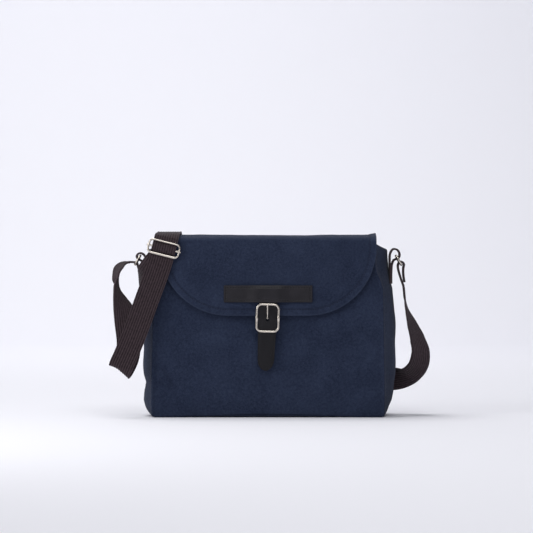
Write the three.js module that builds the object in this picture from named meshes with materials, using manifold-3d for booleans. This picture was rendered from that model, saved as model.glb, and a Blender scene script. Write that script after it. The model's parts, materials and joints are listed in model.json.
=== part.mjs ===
// A small canvas shoulder bag: a boxy body with bulging side gussets, a full flap with a
// leather closing strap, and a webbing shoulder strap lying over the flap.
// Millimetres, +Z up, front of the bag towards -Y, origin at the middle of the base.
import * as THREE from "three";
import { mergeVertices } from "three/addons/utils/BufferGeometryUtils.js";
import Module from "manifold-3d";

const wasm = await Module();
wasm.setup();

// ---- Driving dimensions ---------------------------------------------------------------
const GAP = 0.3; // air between two pieces that touch

const BASE_WIDTH = 285; // front panel at the base
const WIDTH_TAPER = 12; // how much narrower it is at the mouth
const BASE_DEPTH = 100; // front to back at the base
const DEPTH_TAPER = 14; // how much shallower it is at the mouth
const BODY_HEIGHT = 216; // top edge of the four walls
const SIDE_BULGE = [ // share of the height, how far the gusset stands out at its middle
  [0, 1.5],
  [0.042, 6],
  [0.1, 12.2],
  [0.167, 16.6],
  [0.225, 18.6],
  [0.33, 18],
  [0.5, 15.6],
  [0.7, 13.4],
  [0.86, 11.4],
  [0.95, 8.6],
  [1, 4.5],
];

const CANVAS = 1.6; // outer canvas, two plies at the seams
const BASE_CLOTH = 1.8; // canvas under the bag
const LINING = 1; // cotton lining
const LINING_SPACE = 1.9; // between canvas and lining
const LINING_SHORT = 2; // the lining's upper edge, below the top of the walls
const BASE_CORNER = 6; // plan radius of the base
const BOARD = 2; // stiffener lying on the base canvas
const BOARD_MARGIN = 3; // between the board and the walls

const POCKET_WIDTH = 150;
const POCKET_HEIGHT = 104;
const POCKET_DOWN = 50; // its open edge, below the top of the walls
const POCKET_BELLY = 9; // how far the slip pocket stands off the back lining

const FLAP_INSET = 2; // each side edge, inside the edge of the front panel's mouth
const FLAP_DROP = 90.9; // from the fold down to the flap's lower edge
const FLAP_CORNER = 85; // radius of its two lower corners
const CROWN_RISE = 10.8; // highest point of the flap, above the walls
const FOLD_RISE = 0.9; // fold between the top and the front of the flap, above the walls
const HINGE_RISE = 1.5; // seam that the flap turns on at the back, above the walls
const HINGE_OUT = 0.8; // and behind the back panel
const FLAP_CLEAR = 1.3; // between the flap's lower edge and the front panel

const LEATHER = 2; // closing strap
const PLATE_LEATHER = 1.7; // leather plate over the root of the strap
const PLATE_LENGTH = 110;
const PLATE_HEIGHT = 21;
const PLATE_UP = 16.5; // its lower edge, above the flap's lower edge
const STRAP_TOP_MARGIN = 3; // from the strap's upper end to the plate's upper edge
const PLATE_SHOULDER = 9; // length over which the plate steps up onto the strap
const CLOSURE_WIDTH = 22.8;
const BEND_BELOW_BUCKLE = 0.9; // where the strap's loose end starts to bend
const SNAP_DOWN = 46; // the snap's axis, below the flap's lower edge
const TIP_BEYOND_SNAP = 22; // the strap's rounded end, below the snap's axis
const SNAP_DIAMETER = 14;
const SOCKET_THICKNESS = 2.2;
const STUD_THICKNESS = 1.1;
const SNAP_CLEAR = 0.7; // between socket and stud
const NIPPLE_RADIUS = 2; // centre pip of the stud
const PIP_CLEAR = 0.8; // between the pip and the socket's recess
const WASHER_THICKNESS = 0.8;

const BUCKLE_SLACK = 0.6; // between the strap's edge and the buckle, each side
const BUCKLE_HEIGHT = 36.6;
const BUCKLE_BELOW_PLATE = 1;
const BUCKLE_WIRE = 3;
const BUCKLE_CORNER = 6;
const CENTRE_BAR = 2.4; // diameter of the buckle's centre bar
const CENTRE_BAR_DOWN = 18.5; // the centre bar's axis, below the top of the buckle
const TONGUE_WIRE = 1.9;
const TONGUE_WIDTH = 4;
const TONGUE_CURL = 0.9; // thickness of the metal curled round the bar
const TONGUE_REST = 0.16; // between the tongue and the rounded edge of the bar it lies on
const SLOT_SLACK = 0.7; // between the tongue and its slot in the strap, each side
const SLOT_HEIGHT = 14;

const WEB_WIDTH = 30;
const WEB = 1.8; // thickness of the webbing
const RING_WIRE = 3;
const RING_SLACK = 1; // between the webbing's edge and the ring, each side
const RING_PITCH = 12.6; // between the middles of the ring's two long bars
const RING_CORNER = 4.5;
const RING_TILT = THREE.MathUtils.degToRad(30); // how far the ring leans outwards
const RING_DOWN = 16.3; // the ring's upper bar, below the top of the walls
const RING_OUT = 9.2; // and its distance from the tab's back
const BAR_HOLE_SLACK = 0.45; // between a ring's bar and the webbing round it
const TAB_BELOW_RING = 35.7; // the tab's sewn end, below the ring's upper bar
const TAB_HEAD = 8; // radius of the tab's rolled head
const TAB_HEAD_RISE = 1.8; // middle of that head, above the ring's upper bar
const END_DROP = 22; // length of the sewn end below the lower bar
const END_ROLL = 0.85; // how much fatter the roll round the lower bar is than the webbing

const SLIDER_SLACK = 3.1; // between the webbing's edge and the slider, each side
const SLIDER_PITCH = 16.4; // between the middles of its two long bars
const SLIDER_WIRE = 2.4;
const SLIDER_CORNER = 6.5;
const SLIDER_TILT = THREE.MathUtils.degToRad(14);
const SLIDER_IN = 5.3; // its middle, inside the flap's side edge
const SLIDER_DOWN = 7.4; // its middle, below the fold
const SLIDER_BAR = 2.2; // diameter of the pinned centre bar
const SLIDER_NECK = 1.1; // diameter where the bar passes through the frame
const SLIDER_HEAD = 2.8; // diameter of its riveted ends
const SLIDER_HEAD_LENGTH = 2;

// Middle of the webbing and the way its width lies, point by point.
const BACK_RUN = [
  [169.6, 0, 161.5, 0, 1, 0],
  [171, 0, 148, 0, 1, 0],
  [174, -0.5, 132, 0.12, 1, 0],
  [180, 1, 115, 0.42, 0.9, -0.05],
  [187, 4, 96, 0.62, 0.77, -0.12],
  [191, 8, 79, 0.7, 0.68, -0.2],
  [188.5, 16, 65, 0.74, 0.6, -0.28],
  [179, 29, 54.5, 0.7, 0.5, -0.45],
  [164, 43, 49, 0.35, 0.3, -0.88],
  [142, 53, 46.5, 0.08, 0.1, -1],
  [110, 58, 44.5, 0, 0, -1],
  [70, 60, 45, -0.06, 0, -1],
  [30, 61, 52, -0.25, 0, -0.97],
  [-8, 61, 66, -0.42, 0, -0.9],
  [-45, 60, 88, -0.58, 0, -0.81],
  [-78, 58, 117, -0.75, 0, -0.66],
  [-102, 56, 150, -0.88, 0, -0.47],
  [-116, 54, 181, -0.96, 0, -0.27],
  [-123.2, 50.8, 213, -1, 0, -0.04],
];
const OVER_FLAP = [
  [-123.4, 50.3, 216, -1, 0, 0],
  [-123.7, 47, 225, -1, 0, 0],
  [-124, 38, 229.3, -1, 0, 0],
  [-124, 18, 229.2, -1, 0, 0],
  [-124, -4, 228.8, -1, 0, 0],
  [-124.2, -24, 228.5, -1, 0, 0],
  [-124.8, -40, 227.6, -1, 0, 0.03],
  [-126, -51, 222.6, -0.98, 0, 0.16],
];
const DIAGONAL = [
  [-132.5, -53.9, 196, -0.97, 0, 0.24],
  [-139, -55.9, 176, -0.95, 0, 0.31],
  [-150, -58.4, 146, -0.94, 0, 0.34],
  [-160, -61, 118, -0.94, 0, 0.34],
  [-169.5, -63.8, 93, -0.93, 0, 0.37],
  [-177.6, -66.6, 74, -0.88, 0, 0.47],
  [-181.8, -67.4, 64.4, -0.8, 0, 0.6],
  [-183.2, -65.6, 59.6, -0.76, 0, 0.65],
];
const LEFT_LOOP = [
  [-182.6, -61, 58.8, -0.76, 0, 0.65],
  [-180, -57.4, 62.4, -0.8, 0, 0.55],
  [-174.6, -55, 75, -0.93, 0, 0.3],
  [-174, -53, 93, -0.98, 0, 0.05],
  [-178, -50, 114, -0.96, -0.22, -0.1],
  [-182.5, -45, 134, -0.78, -0.6, -0.1],
  [-186.6, -38, 150, -0.4, -0.9, 0],
  [-189, -28, 164, 0.06, -1, 0.1],
  [-188.4, -16, 177, 0.2, -0.96, 0.1],
  [-184.4, -6.4, 186.4, 0.12, -0.98, 0],
  [-179.4, -1, 190.6, 0.02, -1, 0],
  [-175.4, 0, 191.8, 0, -1, 0],
  [-171.6, 0, 191.8, 0, -1, 0],
];
const INNER_RUN = [
  [-162.2, 0, 184.6, 0, -1, 0],
  [-161.5, -0.6, 180.2, 0, -1, 0],
  [-161.6, -5.4, 175, -0.02, -1, 0],
  [-162.4, -15, 170.2, -0.1, -1, 0],
  [-162, -28, 167.6, -0.35, -0.93, 0],
  [-157, -43, 168.4, -0.72, -0.68, 0],
  [-148.6, -51.4, 174, -0.97, -0.18, 0.08],
  [-141, -51.6, 184, -0.97, 0, 0.22],
  [-134, -51.4, 198.4, -0.97, 0, 0.24],
];

// ---- Surfaces of the body -------------------------------------------------------------
const mix = (a, b, t) => a + (b - a) * t;
const halfWidth = (z) => (BASE_WIDTH - (WIDTH_TAPER * z) / BODY_HEIGHT) / 2;
const halfDepth = (z) => (BASE_DEPTH - (DEPTH_TAPER * z) / BODY_HEIGHT) / 2;

function sideBulge(z) {
  const share = THREE.MathUtils.clamp(z / BODY_HEIGHT, 0, 1);
  const i = Math.max(1, SIDE_BULGE.findIndex(([s]) => s >= share));
  const [s0, b0] = SIDE_BULGE[i - 1];
  const [s1, b1] = SIDE_BULGE[i];
  return mix(b0, b1, (share - s0) / (s1 - s0));
}

const wallBottom = BASE_CLOTH + GAP;
const wallLean = Math.atan(DEPTH_TAPER / 2 / BODY_HEIGHT);
const liningInset = CANVAS + LINING_SPACE;
const liningTop = BODY_HEIGHT - LINING_SHORT;
const boardBottom = BASE_CLOTH + GAP;
const baseLiningBottom = boardBottom + BOARD + GAP;
const wallLiningBottom = baseLiningBottom + LINING + GAP;

// ---- Making solids --------------------------------------------------------------------
const bag = new THREE.Group();

const finishes = {
  canvas: { color: 0x27304a, roughness: 0.95, metalness: 0 },
  lining: { color: 0x3a4258, roughness: 0.95, metalness: 0 },
  board: { color: 0x2c2c2e, roughness: 0.8, metalness: 0 },
  leather: { color: 0x1d1c20, roughness: 0.5, metalness: 0 },
  webbing: { color: 0x3a2d33, roughness: 0.9, metalness: 0 },
  nickel: { color: 0xd9cfc8, roughness: 0.3, metalness: 1 },
  steel: { color: 0xa9a9aa, roughness: 0.35, metalness: 1 },
};

function add(name, finish, geometry) {
  const mesh = new THREE.Mesh(geometry, new THREE.MeshStandardMaterial(finishes[finish]));
  mesh.name = name;
  bag.add(mesh);
  return mesh;
}

function merged(geometry) {
  const plain = geometry.clone();
  plain.deleteAttribute("normal");
  plain.deleteAttribute("uv");
  return mergeVertices(plain, 1e-4);
}

function toSolid(geometry) {
  const g = merged(geometry);
  return new wasm.Manifold(
    new wasm.Mesh({
      numProp: 3,
      vertProperties: new Float32Array(g.attributes.position.array),
      triVerts: new Uint32Array(g.index.array),
    }),
  );
}

function toGeometry(solid) {
  const mesh = solid.getMesh();
  return new THREE.BufferGeometry()
    .setAttribute("position", new THREE.BufferAttribute(mesh.vertProperties, 3))
    .setIndex(new THREE.BufferAttribute(mesh.triVerts, 1));
}

const join = (...parts) => toGeometry(parts.map(toSolid).reduce((a, b) => a.add(b)));
const cut = (part, ...tools) =>
  toGeometry(tools.map(toSolid).reduce((a, b) => a.subtract(b), toSolid(part)));

function signedVolume(geometry) {
  const p = geometry.attributes.position;
  const index = geometry.index.array;
  const [a, b, c] = [new THREE.Vector3(), new THREE.Vector3(), new THREE.Vector3()];
  let sum = 0;
  for (let i = 0; i < index.length; i += 3) {
    a.fromBufferAttribute(p, index[i]);
    b.fromBufferAttribute(p, index[i + 1]);
    c.fromBufferAttribute(p, index[i + 2]);
    sum += a.dot(b.cross(c));
  }
  return sum;
}

// A sheet of cloth: a box of unit size whose points (across, up, through) a function places.
function formedSheet(across, up, place) {
  const sheet = merged(new THREE.BoxGeometry(1, 1, 1, across, up, 1).translate(0.5, 0.5, 0.5));
  const p = sheet.attributes.position;
  for (let i = 0; i < p.count; i++) p.setXYZ(i, ...place(p.getX(i), p.getY(i), p.getZ(i)));
  if (signedVolume(sheet) < 0) sheet.index.array.reverse();
  return sheet;
}

// A shape drawn in X and Z, with its back face at y and its thickness towards the front.
const slab = (shape, y, thickness, curveSegments = 8) =>
  new THREE.ExtrudeGeometry(shape, { depth: thickness, bevelEnabled: false, curveSegments })
    .rotateX(Math.PI / 2)
    .translate(0, y, 0);

// A shape drawn in Y and Z, extruded along X about the middle.
const alongX = (shape, width) =>
  new THREE.ExtrudeGeometry(shape, { depth: width, bevelEnabled: false })
    .translate(0, 0, -width / 2)
    .applyMatrix4(new THREE.Matrix4().set(0, 0, 1, 0, 1, 0, 0, 0, 0, 1, 0, 0, 0, 0, 0, 1));

// The outline of a strip of even thickness whose middle runs through the points.
function stripShape(points, thickness, steps) {
  const curve = new THREE.SplineCurve(points.map(([x, y]) => new THREE.Vector2(x, y)));
  const left = [];
  const right = [];
  for (let i = 0; i <= steps; i++) {
    const at = curve.getPointAt(i / steps);
    const along = curve.getTangentAt(i / steps);
    const side = new THREE.Vector2(-along.y, along.x).multiplyScalar(thickness / 2);
    left.push(at.clone().add(side));
    right.unshift(at.clone().sub(side));
  }
  return new THREE.Shape([...left, ...right]);
}

function roundedRect(width, height, radius, path = new THREE.Shape()) {
  const [x, y] = [width / 2, height / 2];
  path.moveTo(-x + radius, -y);
  path.lineTo(x - radius, -y);
  path.absarc(x - radius, -y + radius, radius, -Math.PI / 2, 0);
  path.absarc(x - radius, y - radius, radius, 0, Math.PI / 2);
  path.absarc(-x + radius, y - radius, radius, Math.PI / 2, Math.PI);
  path.absarc(-x + radius, -y + radius, radius, Math.PI, 1.5 * Math.PI);
  return path;
}

// A frame bent from wire, lying in its own X and Y and centred on them.
const WIRE_EDGE = 0.3; // share of the wire that its rounded edge takes
function wireFrame(width, height, wire, corner) {
  const edge = WIRE_EDGE * wire;
  const shape = roundedRect(width - 2 * edge, height - 2 * edge, corner - edge);
  const inner = corner - wire + edge;
  const window = roundedRect(width - 2 * wire + 2 * edge, height - 2 * wire + 2 * edge, inner,
    new THREE.Path());
  shape.holes.push(window);
  return new THREE.ExtrudeGeometry(shape, {
    depth: wire - 2 * edge,
    bevelThickness: edge,
    bevelSize: edge,
    bevelSegments: 1,
    curveSegments: 4,
  }).translate(0, 0, edge - wire / 2);
}

function rod(radius, length, sides = 10) {
  return new THREE.CylinderGeometry(radius, radius, length, sides);
}

// ---- Body: outer canvas ---------------------------------------------------------------
for (const [name, side] of [["front_panel", -1], ["back_panel", 1]]) {
  add(name, "canvas", formedSheet(8, 6, (u, v, w) => {
    const z = mix(wallBottom, BODY_HEIGHT, v);
    return [(2 * u - 1) * halfWidth(z), side * (halfDepth(z) - w * CANVAS), z];
  }));
}

// A gusset or its lining: it stands out most at its middle and meets the walls at its edges.
function gusset(side, inset, thickness, edgeInset, bottom, top) {
  const rows = SIDE_BULGE.length - 1;
  return formedSheet(8, rows, (u, v, w) => {
    const row = Math.round(v * rows);
    const z = mix(bottom, top, SIDE_BULGE[row][0]);
    const y = (2 * u - 1) * (halfDepth(z) - edgeInset);
    const stand = sideBulge(z) * Math.cos((Math.PI / 2) * (2 * u - 1));
    return [side * (halfWidth(z) + stand - inset - w * thickness), y, z];
  });
}

for (const [name, side] of [["left", -1], ["right", 1]]) {
  add(`${name}_gusset`, "canvas", gusset(side, 0, CANVAS, CANVAS + GAP, wallBottom, BODY_HEIGHT));
  add(`lining_${name}`, "lining", gusset(side, liningInset, LINING,
    liningInset + LINING + GAP, wallLiningBottom, liningTop));
}

add("bottom_panel", "canvas", new THREE.ExtrudeGeometry(
  roundedRect(BASE_WIDTH, BASE_DEPTH, BASE_CORNER),
  { depth: BASE_CLOTH, bevelEnabled: false, curveSegments: 4 },
));

// ---- Body: board and lining -----------------------------------------------------------
const boardInset = CANVAS + BOARD_MARGIN;
add("base_board", "board", new THREE.ExtrudeGeometry(
  roundedRect(BASE_WIDTH - 2 * boardInset, BASE_DEPTH - 2 * boardInset, BASE_CORNER),
  { depth: BOARD, bevelEnabled: false, curveSegments: 4 },
).translate(0, 0, boardBottom));

const liningMargin = liningInset + LINING + GAP;
add("lining_base", "lining", new THREE.ExtrudeGeometry(
  roundedRect(BASE_WIDTH - 2 * liningMargin, BASE_DEPTH - 2 * liningMargin, BASE_CORNER),
  { depth: LINING, bevelEnabled: false, curveSegments: 4 },
).translate(0, 0, baseLiningBottom));

for (const [name, side] of [["lining_front", -1], ["lining_back", 1]]) {
  add(name, "lining", formedSheet(6, 4, (u, v, w) => {
    const z = mix(wallLiningBottom, liningTop, v);
    const x = (2 * u - 1) * (halfWidth(z) - CANVAS - GAP);
    return [x, side * (halfDepth(z) - liningInset - w * LINING), z];
  }));
}

add("slip_pocket", "lining", formedSheet(12, 6, (u, v, w) => {
  const z = BODY_HEIGHT - POCKET_DOWN - (1 - v) * POCKET_HEIGHT;
  const belly = POCKET_BELLY * (1 - (2 * u - 1) ** 6) * Math.sin((Math.PI / 2) * Math.sqrt(v));
  const wall = halfDepth(z) - liningInset - LINING - GAP;
  return [(u - 0.5) * POCKET_WIDTH, wall - belly - w * LINING, z];
}));

// ---- Flap -----------------------------------------------------------------------------
// The layers in front of the body, from the flap's lining outwards to the buckle.
const foldHeight = BODY_HEIGHT + FOLD_RISE;
const flapBottom = foldHeight - FLAP_DROP;
const flapWidth = 2 * (halfWidth(BODY_HEIGHT) - FLAP_INSET);
const flapLiningBack = -(halfDepth(flapBottom) + FLAP_CLEAR);
const flapCanvasBack = flapLiningBack - LINING - GAP;
const flapFace = flapCanvasBack - CANVAS;

function flapOutline(top) {
  const half = flapWidth / 2;
  const corner = Math.min(FLAP_CORNER, FLAP_DROP - 4 * GAP, half);
  const centre = flapBottom + corner;
  const shape = new THREE.Shape();
  shape.moveTo(-half, top);
  shape.lineTo(-half, centre);
  shape.absarc(-half + corner, centre, corner, Math.PI, 1.5 * Math.PI);
  shape.absarc(half - corner, centre, corner, -Math.PI / 2, 0);
  shape.lineTo(half, top);
  return shape;
}

const flapFrontTop = foldHeight - GAP;
add("flap_front_canvas", "canvas", slab(flapOutline(flapFrontTop), flapCanvasBack, CANVAS));
add("flap_front_lining", "lining", slab(flapOutline(flapFrontTop), flapLiningBack, LINING));

// The top of the flap from its seam on the back panel, over the crown, to the front fold.
// Between those ends a row is where along the top from back to front, and how far below the crown.
const mouthY = halfDepth(BODY_HEIGHT);
const hingeY = mouthY + HINGE_OUT;
const hingeZ = BODY_HEIGHT + HINGE_RISE;
const crown = BODY_HEIGHT + CROWN_RISE;
const CROWN_PROFILE = [
  [0.07, 0.389],
  [0.186, 0.111],
  [0.442, 0],
  [0.767, 0.056],
  [0.942, 0.185],
];
function flapTopShape(depthBelow, thickness) {
  const drop = depthBelow + thickness / 2;
  return stripShape([
    [hingeY - 0.5 - 0.1 * drop, hingeZ + 2.1 - drop],
    ...CROWN_PROFILE.map(([share, below]) =>
      [mix(mouthY, -mouthY, share), crown - below * CROWN_RISE - drop]),
    [flapFace + 2.4 + 0.75 * drop, crown - 0.4815 * CROWN_RISE - 0.6 * drop],
    [flapFace + drop, foldHeight + GAP],
  ], thickness, 22);
}
add("flap_top_canvas", "canvas", alongX(flapTopShape(0, CANVAS), flapWidth));
add("flap_top_lining", "lining", alongX(flapTopShape(CANVAS + 2 * GAP, LINING), flapWidth));

// ---- Closing strap, plate and snap ----------------------------------------------------
const snapHeight = flapBottom - SNAP_DOWN;
const studBack = -(halfDepth(snapHeight) + GAP + SOCKET_THICKNESS + SNAP_CLEAR);
const strapBack = Math.min(studBack - STUD_THICKNESS - GAP, flapFace - GAP);
const strapFace = strapBack - LEATHER;
const plateLow = flapBottom + PLATE_UP;
const plateHigh = plateLow + PLATE_HEIGHT;
const strapTop = plateHigh - STRAP_TOP_MARGIN;

const plateRise = flapFace - strapFace;
add("leather_plate", "leather", formedSheet(24, 1, (u, v, w) => {
  const x = (u - 0.5) * PLATE_LENGTH;
  const outside = Math.abs(x) - CLOSURE_WIDTH / 2 - 2 * GAP;
  const raised = 1 - THREE.MathUtils.smoothstep(outside, 0, PLATE_SHOULDER);
  const back = flapFace - GAP - plateRise * raised;
  return [x, back - w * PLATE_LEATHER, mix(plateLow, plateHigh, v)];
}));

// The strap runs down from under the plate to the buckle; its loose end, below the buckle,
// lifts off the snap.
const [strapLeft, strapRight] = [-CLOSURE_WIDTH / 2, CLOSURE_WIDTH / 2];
const buckleTop = plateLow - BUCKLE_BELOW_PLATE;
const centreBarHeight = buckleTop - CENTRE_BAR_DOWN;
const bendHeight = buckleTop - BUCKLE_HEIGHT - BEND_BELOW_BUCKLE;
const rectangle = (left, right, low, high) => new THREE.Shape([
  new THREE.Vector2(left, low),
  new THREE.Vector2(right, low),
  new THREE.Vector2(right, high),
  new THREE.Vector2(left, high),
]);
const slotBottom = centreBarHeight - CENTRE_BAR / 2 - TONGUE_CURL - 2 * GAP;
const slotSide = TONGUE_WIDTH / 2 + SLOT_SLACK;
const slotShape = rectangle(-slotSide, slotSide, slotBottom, slotBottom + SLOT_HEIGHT);
add("closure_strap", "leather", cut(
  slab(rectangle(strapLeft, strapRight, bendHeight, strapTop), strapBack, LEATHER),
  slab(slotShape, strapBack + 1, LEATHER + 2),
));

const closureTip = snapHeight - TIP_BEYOND_SNAP;
const tipShape = new THREE.Shape();
tipShape.moveTo(strapLeft, bendHeight - GAP);
tipShape.lineTo(strapLeft, closureTip + CLOSURE_WIDTH / 2);
tipShape.quadraticCurveTo(strapLeft / 1.2, closureTip + 2, 0, closureTip);
tipShape.quadraticCurveTo(strapRight / 1.2, closureTip + 2,
  strapRight, closureTip + CLOSURE_WIDTH / 2);
tipShape.lineTo(strapRight, bendHeight - GAP);
add("closure_tip", "leather", slab(tipShape, strapBack, LEATHER));

// Snap: the stud on the back of the strap, its pip in the socket's recess on the front panel,
// and a washer behind the canvas that the socket is riveted to.
const turned = (profile) =>
  new THREE.LatheGeometry(profile.map(([r, h]) => new THREE.Vector2(r, h)), 20);
const snapRadius = SNAP_DIAMETER / 2;
const socketFace = -(halfDepth(snapHeight) + GAP);
const pipLength = SNAP_CLEAR + 1;

const socket = add("snap_socket", "steel", turned([
  [0, 0],
  [snapRadius, 0],
  [snapRadius, SOCKET_THICKNESS - 0.5],
  [snapRadius - 0.5, SOCKET_THICKNESS],
  [NIPPLE_RADIUS + PIP_CLEAR, SOCKET_THICKNESS],
  [NIPPLE_RADIUS + PIP_CLEAR, SOCKET_THICKNESS - 1.5],
  [0, SOCKET_THICKNESS - 1.5],
]));
socket.rotation.x = Math.PI - wallLean;
socket.position.set(0, socketFace, snapHeight);

const washer = add("snap_washer", "steel", turned([
  [0, 0],
  [snapRadius, 0],
  [snapRadius, WASHER_THICKNESS],
  [0, WASHER_THICKNESS],
]));
washer.rotation.x = Math.PI - wallLean;
const washerBack = halfDepth(snapHeight) - CANVAS - GAP - WASHER_THICKNESS - 0.05;
washer.position.set(0, -washerBack, snapHeight);

const stud = add("snap_stud", "steel", turned([
  [0, 0],
  [snapRadius, 0],
  [snapRadius, STUD_THICKNESS],
  [NIPPLE_RADIUS, STUD_THICKNESS],
  [NIPPLE_RADIUS, STUD_THICKNESS + pipLength - 0.4],
  [NIPPLE_RADIUS - 0.4, STUD_THICKNESS + pipLength],
  [0, STUD_THICKNESS + pipLength],
]));
stud.position.set(0, strapBack + GAP, snapHeight);

// ---- Buckle ---------------------------------------------------------------------------
// Its frame lies on the strap; its centre bar runs behind the strap, held by two lugs.
const buckleWidth = CLOSURE_WIDTH + 2 * (BUCKLE_SLACK + BUCKLE_WIRE);
const buckleBack = strapFace - GAP;
const buckleMiddleY = buckleBack - BUCKLE_WIRE / 2;
const barY = strapBack + GAP + CENTRE_BAR / 2;
const lugX = (buckleWidth - BUCKLE_WIRE) / 2;
const lugDepth = barY - buckleMiddleY + CENTRE_BAR / 2;
const frameLoop = wireFrame(buckleWidth, BUCKLE_HEIGHT, BUCKLE_WIRE, BUCKLE_CORNER)
  .rotateX(Math.PI / 2)
  .translate(0, buckleMiddleY, buckleTop - BUCKLE_HEIGHT / 2);
const lugs = [-1, 1].map((side) =>
  new THREE.BoxGeometry(CENTRE_BAR, lugDepth, CENTRE_BAR)
    .translate(side * lugX, buckleMiddleY + lugDepth / 2, centreBarHeight));
const centreBar = rod(CENTRE_BAR / 2, 2 * lugX)
  .rotateZ(Math.PI / 2)
  .translate(0, barY, centreBarHeight);
add("buckle_frame", "nickel", join(frameLoop, ...lugs, centreBar));

// The tongue curls round the centre bar and lies on the frame's top bar.
const curlInner = CENTRE_BAR / 2 + 0.15;
const curlOuter = curlInner + TONGUE_CURL;
const curl = cut(
  rod(curlOuter, TONGUE_WIDTH, 14),
  rod(curlInner, TONGUE_WIDTH + 2, 14),
).rotateZ(Math.PI / 2).translate(0, barY, centreBarHeight);
const rootY = barY - 0.5 * curlOuter - 0.35 * curlInner;
const rootZ = centreBarHeight + 0.8 * curlInner;
const restY = buckleMiddleY - BUCKLE_WIRE / 2 - TONGUE_REST - TONGUE_WIRE / 2;
const restZ = buckleTop - (1 - WIRE_EDGE) * BUCKLE_WIRE;
const tipZ = buckleTop - 0.8;
const tipY = mix(rootY, restY, (tipZ - rootZ) / (restZ - rootZ));
const prongPath = new THREE.LineCurve3(
  new THREE.Vector3(0, rootY, rootZ),
  new THREE.Vector3(0, tipY, tipZ),
);
const prongSection = new THREE.Shape();
prongSection.absarc(0, 0, TONGUE_WIRE / 2, 0, 2 * Math.PI);
const prong = new THREE.ExtrudeGeometry(prongSection,
  { extrudePath: prongPath, steps: 1, bevelEnabled: false, curveSegments: 4 });
add("buckle_tongue", "nickel", join(curl, prong));

// ---- Side tabs and rings --------------------------------------------------------------
const ringHeight = BODY_HEIGHT - RING_DOWN;
const tabBottom = ringHeight - TAB_BELOW_RING;
const tabHeadZ = ringHeight + TAB_HEAD_RISE;
const tabFace = halfWidth(tabBottom) + sideBulge(tabBottom) + GAP;
const ringX = tabFace + RING_OUT;
const lowerBarX = ringX + RING_PITCH * Math.sin(RING_TILT);
const lowerBarZ = ringHeight - RING_PITCH * Math.cos(RING_TILT);
const barHole = RING_WIRE / 2 + BAR_HOLE_SLACK;
const ringWidth = WEB_WIDTH + 2 * RING_SLACK + 2 * RING_WIRE;
const ringLength = RING_PITCH + RING_WIRE;

const circle = (x, z, radius, path = new THREE.Path()) =>
  path.absarc(x, z, radius, 0, 2 * Math.PI);

for (const [name, side] of [["left", -1], ["right", 1]]) {
  const headX = tabFace + TAB_HEAD;
  const tabShape = new THREE.Shape();
  tabShape.moveTo(side * tabFace, tabBottom);
  tabShape.lineTo(side * (tabFace + 2 * WEB), tabBottom);
  tabShape.lineTo(side * (tabFace + 2 * WEB), tabHeadZ - 0.83 * TAB_HEAD);
  for (let i = 0; i <= 12; i++) {
    const turn = THREE.MathUtils.degToRad(-100 + (280 * i) / 12);
    tabShape.lineTo(side * (headX + TAB_HEAD * Math.cos(turn)),
      tabHeadZ + TAB_HEAD * Math.sin(turn));
  }
  tabShape.holes.push(circle(side * ringX, ringHeight, barHole));
  add(`${name}_tab`, "webbing", slab(tabShape, WEB_WIDTH / 2, WEB_WIDTH, 6));

  const ring = add(`${name}_ring`, "nickel",
    wireFrame(ringWidth, ringLength, RING_WIRE, RING_CORNER).translate(0, -RING_PITCH / 2, 0));
  const across = new THREE.Vector3(0, 1, 0);
  const up = new THREE.Vector3(-side * Math.sin(RING_TILT), 0, Math.cos(RING_TILT));
  const facing = new THREE.Vector3().crossVectors(across, up);
  ring.quaternion.setFromRotationMatrix(new THREE.Matrix4().makeBasis(across, up, facing));
  ring.position.set(side * ringX, 0, ringHeight);
}

// ---- Slider ---------------------------------------------------------------------------
const sliderWidth = WEB_WIDTH + 2 * (SLIDER_SLACK + SLIDER_WIRE);
const sliderX = -(flapWidth / 2 - SLIDER_IN);
const sliderZ = foldHeight - SLIDER_DOWN;
const innerWebY = flapFace - GAP - WEB / 2;
const outerWebY = innerWebY - WEB - GAP;
const sliderY = outerWebY - WEB / 2 - GAP - SLIDER_WIRE / 2;
const slider = new THREE.Group();
slider.position.set(sliderX, sliderY, sliderZ);
slider.rotation.set(Math.PI / 2, SLIDER_TILT, 0, "YXZ");
bag.add(slider);

const sliderHole = rod(SLIDER_NECK / 2 + 0.25, 2 * sliderWidth).rotateZ(Math.PI / 2);
slider.add(add("slider_frame", "nickel", cut(
  wireFrame(sliderWidth, SLIDER_PITCH + SLIDER_WIRE, SLIDER_WIRE, SLIDER_CORNER),
  sliderHole,
)));
const barInside = sliderWidth / 2 - SLIDER_WIRE - GAP;
const headFrom = sliderWidth / 2 + GAP;
const headTo = headFrom + SLIDER_HEAD_LENGTH;
const barProfile = [
  [0, -headTo],
  [SLIDER_HEAD / 2, -headTo + 0.6],
  [SLIDER_HEAD / 2, -headFrom],
  [SLIDER_NECK / 2, -headFrom],
  [SLIDER_NECK / 2, -barInside],
  [SLIDER_BAR / 2, -barInside],
];
const mirrored = barProfile.map(([r, h]) => [r, -h]).reverse();
slider.add(add("slider_bar", "nickel", new THREE.LatheGeometry(
  [...barProfile, ...mirrored].map(([r, h]) => new THREE.Vector2(r, h)),
  10,
).rotateZ(Math.PI / 2)));

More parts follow.
